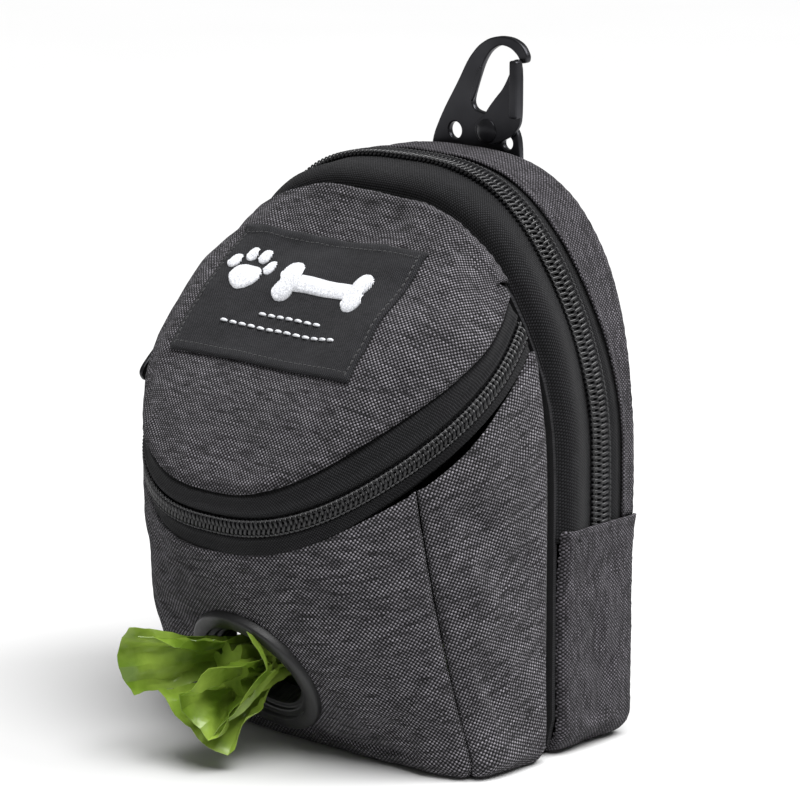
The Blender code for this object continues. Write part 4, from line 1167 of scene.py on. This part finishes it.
def bag_roll():
    """The roll of bags: layers of film wound on a card core."""
    middle = (ROLL_LOW + ROLL_HIGH) / 2
    radius = (ROLL_HIGH.z - ROLL_LOW.z) / 2
    half = (ROLL_HIGH.x - ROLL_LOW.x) / 2
    layers = 9
    profile = []
    inner = 0.0065
    for side in (-1, 1):
        steps = range(layers * 2 + 1) if side < 0 else range(layers * 2, -1, -1)
        for k in steps:
            depth = 0.0003 if k % 2 else 0.0
            profile.append((inner + (radius - 0.0004 - inner) * k / (layers * 2), side * (half - depth)))
    obj = lathe("roll_film", profile, middle, (1, 0, 0), 72)
    for vertex in obj.data.vertices:
        swell = noise.noise(Vector((vertex.co.x * 60, vertex.co.y * 200, vertex.co.z * 200)))
        vertex.co += Vector((0, vertex.co.y - middle.y, vertex.co.z - middle.z)).normalized() * swell * 0.0003
    place(obj, "green_film", "roll", ("waste_bag_roll",))


# ---------------------------------------------------------------- hook and webbing
HOOK_OUTLINE_MM = (
    (-15.4, 137.3), (-15.4, 146.0), (-11.4, 154.0), (-6.2, 162.0), (-2.8, 168.0), (0.6, 171.8), (4.2, 174.0),
    (8.3, 175.0), (12.6, 174.8), (16.0, 173.3), (17.8, 170.6), (17.5, 168.8), (15.4, 168.4), (14.4, 170.4),
    (11.8, 172.2), (8.3, 172.7), (4.9, 170.8), (2.6, 167.6), (0.6, 162.6), (-1.2, 157.4), (-0.4, 155.6),
    (1.4, 154.9), (6.0, 154.6), (10.6, 153.8), (14.0, 151.6), (15.4, 148.0), (15.4, 137.3))
GATE_OUTLINE_MM = (
    (3.2, 153.7), (1.4, 152.2), (1.0, 150.0), (2.0, 147.9), (4.4, 146.9), (7.4, 146.9), (12.4, 149.0),
    (14.8, 150.6), (16.5, 153.0), (16.9, 156.0), (16.9, 169.6), (13.9, 169.6), (13.0, 165.9),
    (10.5, 161.6), (8.3, 159.4), (5.8, 156.6), (4.4, 154.6))


def cornered(points, rounds=2):
    """The outline with its corners cut round."""
    for _ in range(rounds):
        cut = []
        for a, b in zip(points, points[1:] + points[:1]):
            cut.append((a[0] * 0.78 + b[0] * 0.22, a[1] * 0.78 + b[1] * 0.22))
            cut.append((a[0] * 0.22 + b[0] * 0.78, a[1] * 0.22 + b[1] * 0.78))
        points = cut
    return points


def circle_mm(x, z, radius, count=28):
    turns = [math.tau * k / count for k in range(count)]
    return [(x + radius * math.cos(t), z + radius * math.sin(t)) for t in turns]


def plate(name, outlines_mm, y, half_thick, bevel):
    """A pressed plate in the XZ plane, from an outline and its holes."""
    shape = bpy.data.curves.new(name, "CURVE")
    shape.dimensions = "2D"
    shape.fill_mode = "BOTH"
    shape.extrude = half_thick - bevel
    shape.bevel_depth = bevel
    shape.bevel_resolution = 2
    shape.offset = -bevel
    for outline in outlines_mm:
        spline = shape.splines.new("POLY")
        spline.points.add(len(outline) - 1)
        spline.use_cyclic_u = True
        for target, (x, z) in zip(spline.points, outline):
            target.co = (x * MM, z * MM, 0, 1)
    flat = bpy.data.objects.new(name + "_outline", shape)
    bpy.context.scene.collection.objects.link(flat)
    bpy.context.view_layer.update()
    mesh = bpy.data.meshes.new_from_object(flat.evaluated_get(bpy.context.evaluated_depsgraph_get()))
    bpy.data.objects.remove(flat)
    mesh.transform(Matrix.Translation((0, y, 0)) @ Matrix.Rotation(math.radians(90), 4, "X"))
    mesh.name = name
    obj = bpy.data.objects.new(name, mesh)
    bpy.context.scene.collection.objects.link(obj)
    return sharpened(obj, 30)


def joined(name, objects):
    """Several mesh objects as one."""
    bm = bmesh.new()
    for obj in objects:
        bm.from_mesh(obj.data)
        bpy.data.objects.remove(obj)
    return sharpened(from_bmesh(name, bm), 32)


def rounded_box(name, low, high, bevel, segments=3):
    bm = bmesh.new()
    size = [b - a for a, b in zip(low, high)]
    middle = [(a + b) / 2 for a, b in zip(low, high)]
    bmesh.ops.create_cube(bm, size=1.0, matrix=Matrix.Translation(middle) @ Matrix.Diagonal((*size, 1.0)))
    bmesh.ops.bevel(bm, geom=bm.edges[:], offset=bevel, segments=segments, affect="EDGES", profile=0.6)
    return from_bmesh(name, bm)


def hook():
    """The snap hook: a pressed plate with a stiffening rib, and a sprung gate on a rivet."""
    front = HOOK_Y - HOOK_HALF_THICK
    slot = cornered([(-12.4, 139.5), (12.4, 139.5), (12.4, 144.3), (-12.4, 144.3)], 2)
    holes = [slot, circle_mm(-7.0, 149.2, 2.2), circle_mm(11.2, 147.6, 1.7), circle_mm(*GATE_PIVOT_MM, 1.5)]
    body = plate("hook_body", [cornered(list(HOOK_OUTLINE_MM))] + holes, HOOK_Y, HOOK_HALF_THICK, 0.0004)
    rib = plate("hook_rib", [cornered([(-1.9, 157.6), (-0.3, 157.2), (3.0, 166.2), (1.6, 167.0)])],
                front - 0.00015, 0.0004, 0.0003)
    place(joined("hook_body", [body, rib]), "gunmetal", "hook", ("hook_plate",))
    gate_y = front - 0.0003 - 0.0005
    arm = plate("gate_web", [cornered(list(GATE_OUTLINE_MM)), circle_mm(*GATE_PIVOT_MM, 1.5)], gate_y, 0.0005,
                0.0002)
    fold = rounded_box("gate_fold", (14.0 * MM, gate_y - 0.0022, 154.5 * MM), (16.8 * MM, gate_y + 0.0005, 169.4 * MM),
                       0.0008)
    place(joined("gate_arm", [arm, fold]), "gunmetal", "gate", ("gate_lever",))
    low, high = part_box("gate_rivet")
    pivot = Vector((GATE_PIVOT_MM[0] * MM, 0, GATE_PIVOT_MM[1] * MM))
    dome = [(0.0, 0.0), (1.4, -0.05), (2.4, -0.25), (3.1, -0.65), (3.2, -0.95), (1.2, -0.95)]
    tail = [(1.2, -(high.y - low.y) / MM + 0.6), (2.4, -(high.y - low.y) / MM + 0.5),
            (2.3, -(high.y - low.y) / MM), (0.0, -(high.y - low.y) / MM)]
    profile = [(radius * MM, height * MM) for radius, height in dome + tail]
    rivet = lathe("rivet_pin", profile, (pivot.x, low.y, pivot.z), (0, -1, 0), 48)
    place(rivet, "gunmetal", "hook", ("gate_rivet",))
    spring_low, spring_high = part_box("gate_spring")
    turns = []
    for k in range(61):
        angle = math.tau * 2.6 * k / 60
        y = spring_low.y + 0.0003 + (spring_high.y - spring_low.y - 0.0006) * k / 60
        turns.append(pivot + Vector((0.0021 * math.cos(angle), y, 0.0021 * math.sin(angle))))
    place(gathered("spring_wire", [tube(turns, 0.0003, 8)]), "black_metal", "hook", ("gate_spring",))


def webbing():
    """The loop of webbing that holds the hook, with its box of stitches."""
    low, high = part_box("webbing_loop")
    y = (low.y + high.y) / 2
    top = HOOK_BAR_Z
    radius = (high.y - low.y) / 2
    path = []
    for k in range(13):
        turn = math.pi * k / 12
        path.append((y - radius * math.cos(turn), top + radius * math.sin(turn)))
    for k in range(13):
        turn = math.pi * k / 12
        path.append((y + radius * math.cos(turn), LOOP_BOTTOM_Z - radius * math.sin(turn)))
    path.append(path[0])
    loop = resampled([(0, a, b) for a, b in path], 90)
    rows = []
    for k in range(23):
        x = LOOP_WIDTH * (k / 22 - 0.5)
        edge = 0.00022 * max(abs(2 * k / 22 - 1) - 0.8, 0) / 0.2
        middle = np.array((0, y, (top + LOOP_BOTTOM_Z) / 2))
        inwards = unit(middle - loop) * edge
        rows.append(loop + inwards + np.array((x, 0, 0)))
    points = np.array(rows)
    away = edge_distances(points)
    obj = grid_object("webbing_band", points, np.stack([away["top"], away["left"]], 2) / MM)
    bm = bmesh.new()
    bm.from_mesh(obj.data)
    bmesh.ops.remove_doubles(bm, verts=bm.verts, dist=1e-6)
    bmesh.ops.recalc_face_normals(bm, faces=bm.faces)
    bm.to_mesh(obj.data)
    bm.free()
    thickness = obj.modifiers.new("thickness", "SOLIDIFY")
    thickness.thickness = 0.0012
    thickness.offset = -1.0
    final(obj)
    place(obj, "black_tape", "rear_flap", ("webbing_loop",))
    parts = []
    back = high.y + 0.0001
    corners = [(-0.009, 0.1215), (0.009, 0.1215), (0.009, 0.1325), (-0.009, 0.1325), (-0.009, 0.1215),
               (0.009, 0.1325)]
    corners += [(0.009, 0.1215), (-0.009, 0.1325)]
    for a, b in list(zip(corners[:5], corners[1:6])) + [(corners[6], corners[7])]:
        line = [(a[0] + (b[0] - a[0]) * s, back, a[1] + (b[1] - a[1]) * s) for s in np.linspace(0, 1, 12)]
        parts += stitches(line, [(0, 1, 0)] * 12, 0.0022, 0.75, 0.0002)
    place(gathered("webbing_stitches", parts), "black_thread", "rear_flap", slot="black_tape")


# ---------------------------------------------------------------- sliders
def slider(prefix, node, place_at, out, along, body, pull_body):
    """A zipper slider with its crown, bail and pull tab."""
    out = Vector(out).normalized()
    along = Vector(along).normalized()
    across = along.cross(out)
    basis = Matrix((out, across, along)).transposed().to_4x4()
    basis.translation = place_at
    outline = cornered([(-2.4, -4.5), (2.4, -4.5), (3.0, -1.5), (3.6, 2.0), (3.0, 4.5), (-3.0, 4.5), (-3.6, 2.0),
                        (-3.0, -1.5)])
    crown = plate(prefix + "_crown", [outline], 0.0, 0.0006, 0.00035)
    crown.data.transform(Matrix.Rotation(math.radians(90), 4, "Z"))
    crown.data.transform(Matrix.Translation((0.0010, 0, 0)))
    bail_line = [(0.0014, 0, -0.0042), (0.0030, 0, -0.0044), (0.0040, 0, -0.0030), (0.0042, 0, 0.0),
                 (0.0040, 0, 0.0030), (0.0030, 0, 0.0044), (0.0014, 0, 0.0042)]
    bail = gathered(prefix + "_bail", [tube(resampled(bail_line, 26), 0.0007, 8)])
    top = joined(prefix + "_top", [crown, bail])
    top.data.transform(basis)
    place(top, "black_metal", body, (node,))
    hinge_x = 0.0016 + 0.0019 / 2
    length = PULL_LENGTH / MM
    shape = cornered([(-2.2, 0.8), (2.2, 0.8), (2.6, -5.0), (2.8, -length + 2.5), (1.7, -length),
                      (-1.7, -length), (-2.8, -length + 2.5), (-2.6, -5.0)])
    window = cornered([(-1.4, -0.6), (1.4, -0.6), (1.5, -5.6), (-1.5, -5.6)])
    slot = cornered([(-0.9, -9.0), (0.9, -9.0), (1.1, -length + 3.0), (-1.1, -length + 3.0)])
    tab = plate(prefix + "_pull_tab", [shape, window, slot], 0.0, 0.0006, 0.0003)
    tab.data.transform(Matrix.Rotation(math.radians(90), 4, "Z"))
    tab.data.transform(basis @ Matrix.Translation((hinge_x, 0, 0)))
    place(tab, "black_metal", pull_body, (node + "_pull",))


def sliders():
    slider("main_zip", "main_slider", at(-HALF - 0.0006, COIL_MIDDLE[0], MAIN_SLIDER_Z), (-1, 0, 0), (0, 0, 1),
           "main_slider", "main_pull")
    step = math.radians(4)
    along = band_line(LID_SLIDER_ANGLE + step) - band_line(LID_SLIDER_ANGLE - step)
    up = band_line(LID_SLIDER_ANGLE, 0.001) - band_line(LID_SLIDER_ANGLE, -0.001)
    out = along.cross(up).normalized()
    if out.x > 0:
        out = -out
    slider("lid_zip", "lid_slider", band_line(LID_SLIDER_ANGLE, 0.0, 0.0006) + out * 0.0003, out, -along,
           "lid_slider", "lid_pull")


def carried_nodes():
    """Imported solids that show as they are, with finished materials."""
    kept = {"divider_panel": "lining", "pocket_floor": "floor_lining", "outlet_retainer": "black_moulding",
            "roll_core": "card"}
    for node, look in kept.items():
        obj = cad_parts[node]
        obj.data.materials.clear()
        obj.data.materials.append(LOOKS[look])


# ---------------------------------------------------------------- camera, light and floor
def camera():
    """Looks from the right front, a little above the pouch."""
    azimuth, elevation, distance = math.radians(44), math.radians(13.5), 0.95
    turn_right, turn_up = math.radians(0.816), math.radians(0.952)
    back = Vector((math.sin(azimuth) * math.cos(elevation), -math.cos(azimuth) * math.cos(elevation),
                   math.sin(elevation)))
    data = bpy.data.cameras.new("camera")
    data.lens = 168.4
    data.sensor_width = 36.0
    obj = bpy.data.objects.new("camera", data)
    obj.location = Vector((0, 0.0005, 0.070)) + back * distance
    obj.rotation_euler = (math.pi / 2 - elevation + turn_up, 0, azimuth - turn_right)
    bpy.context.scene.collection.objects.link(obj)
    bpy.context.scene.camera = obj


def area_light(name, location, target, size, power):
    data = bpy.data.lights.new(name, "AREA")
    data.shape = "DISK"
    data.size = size
    data.energy = power
    obj = bpy.data.objects.new(name, data)
    obj.location = location
    obj.rotation_euler = (Vector(target) - Vector(location)).to_track_quat("-Z", "Y").to_euler()
    bpy.context.scene.collection.objects.link(obj)


def studio():
    """Soft light from above and the right, and a plain pale floor."""
    scene = bpy.context.scene
    scene.view_settings.view_transform = "Standard"
    world = bpy.data.worlds.new("studio")
    world.use_nodes = True
    world.node_tree.nodes["Background"].inputs["Color"].default_value = (1.0, 1.0, 1.0, 1.0)
    world.node_tree.nodes["Background"].inputs["Strength"].default_value = 0.20
    scene.world = world
    sun = bpy.data.lights.new("overhead", "SUN")
    sun.energy = 4.9
    sun.angle = math.radians(45)
    lamp = bpy.data.objects.new("overhead", sun)
    lamp.rotation_euler = Vector((0.36, -0.14, 0.92)).to_track_quat("Z", "Y").to_euler()
    scene.collection.objects.link(lamp)
    area_light("rim", (0.55, 0.45, 0.85), (0, 0, 0.10), 0.5, 7.0)
    bm = bmesh.new()
    bmesh.ops.create_grid(bm, x_segments=1, y_segments=1, size=4.0)
    floor = from_bmesh("floor", bm, smooth=False)
    floor.location.z = -0.0002
    look = Look("floor", (0.60, 0.60, 0.60), 0.8)
    look.color(look.mix(look.spread(look.noise(3.0, 2.0), 0.3, 0.7), (0.60, 0.60, 0.60), (0.62, 0.62, 0.62)))
    floor.data.materials.append(look.material)


# ---------------------------------------------------------------- the whole pouch
camera()
rear_panel()
base_cloth()
arch_pieces()
main_coils()
lid_tapes()
lid_coils()
pocket_cloth()
label(LidSurface(lid_cloth()))
outlet()
bag_tail()
bag_roll()
hook()
webbing()
sliders()
carried_nodes()
studio()
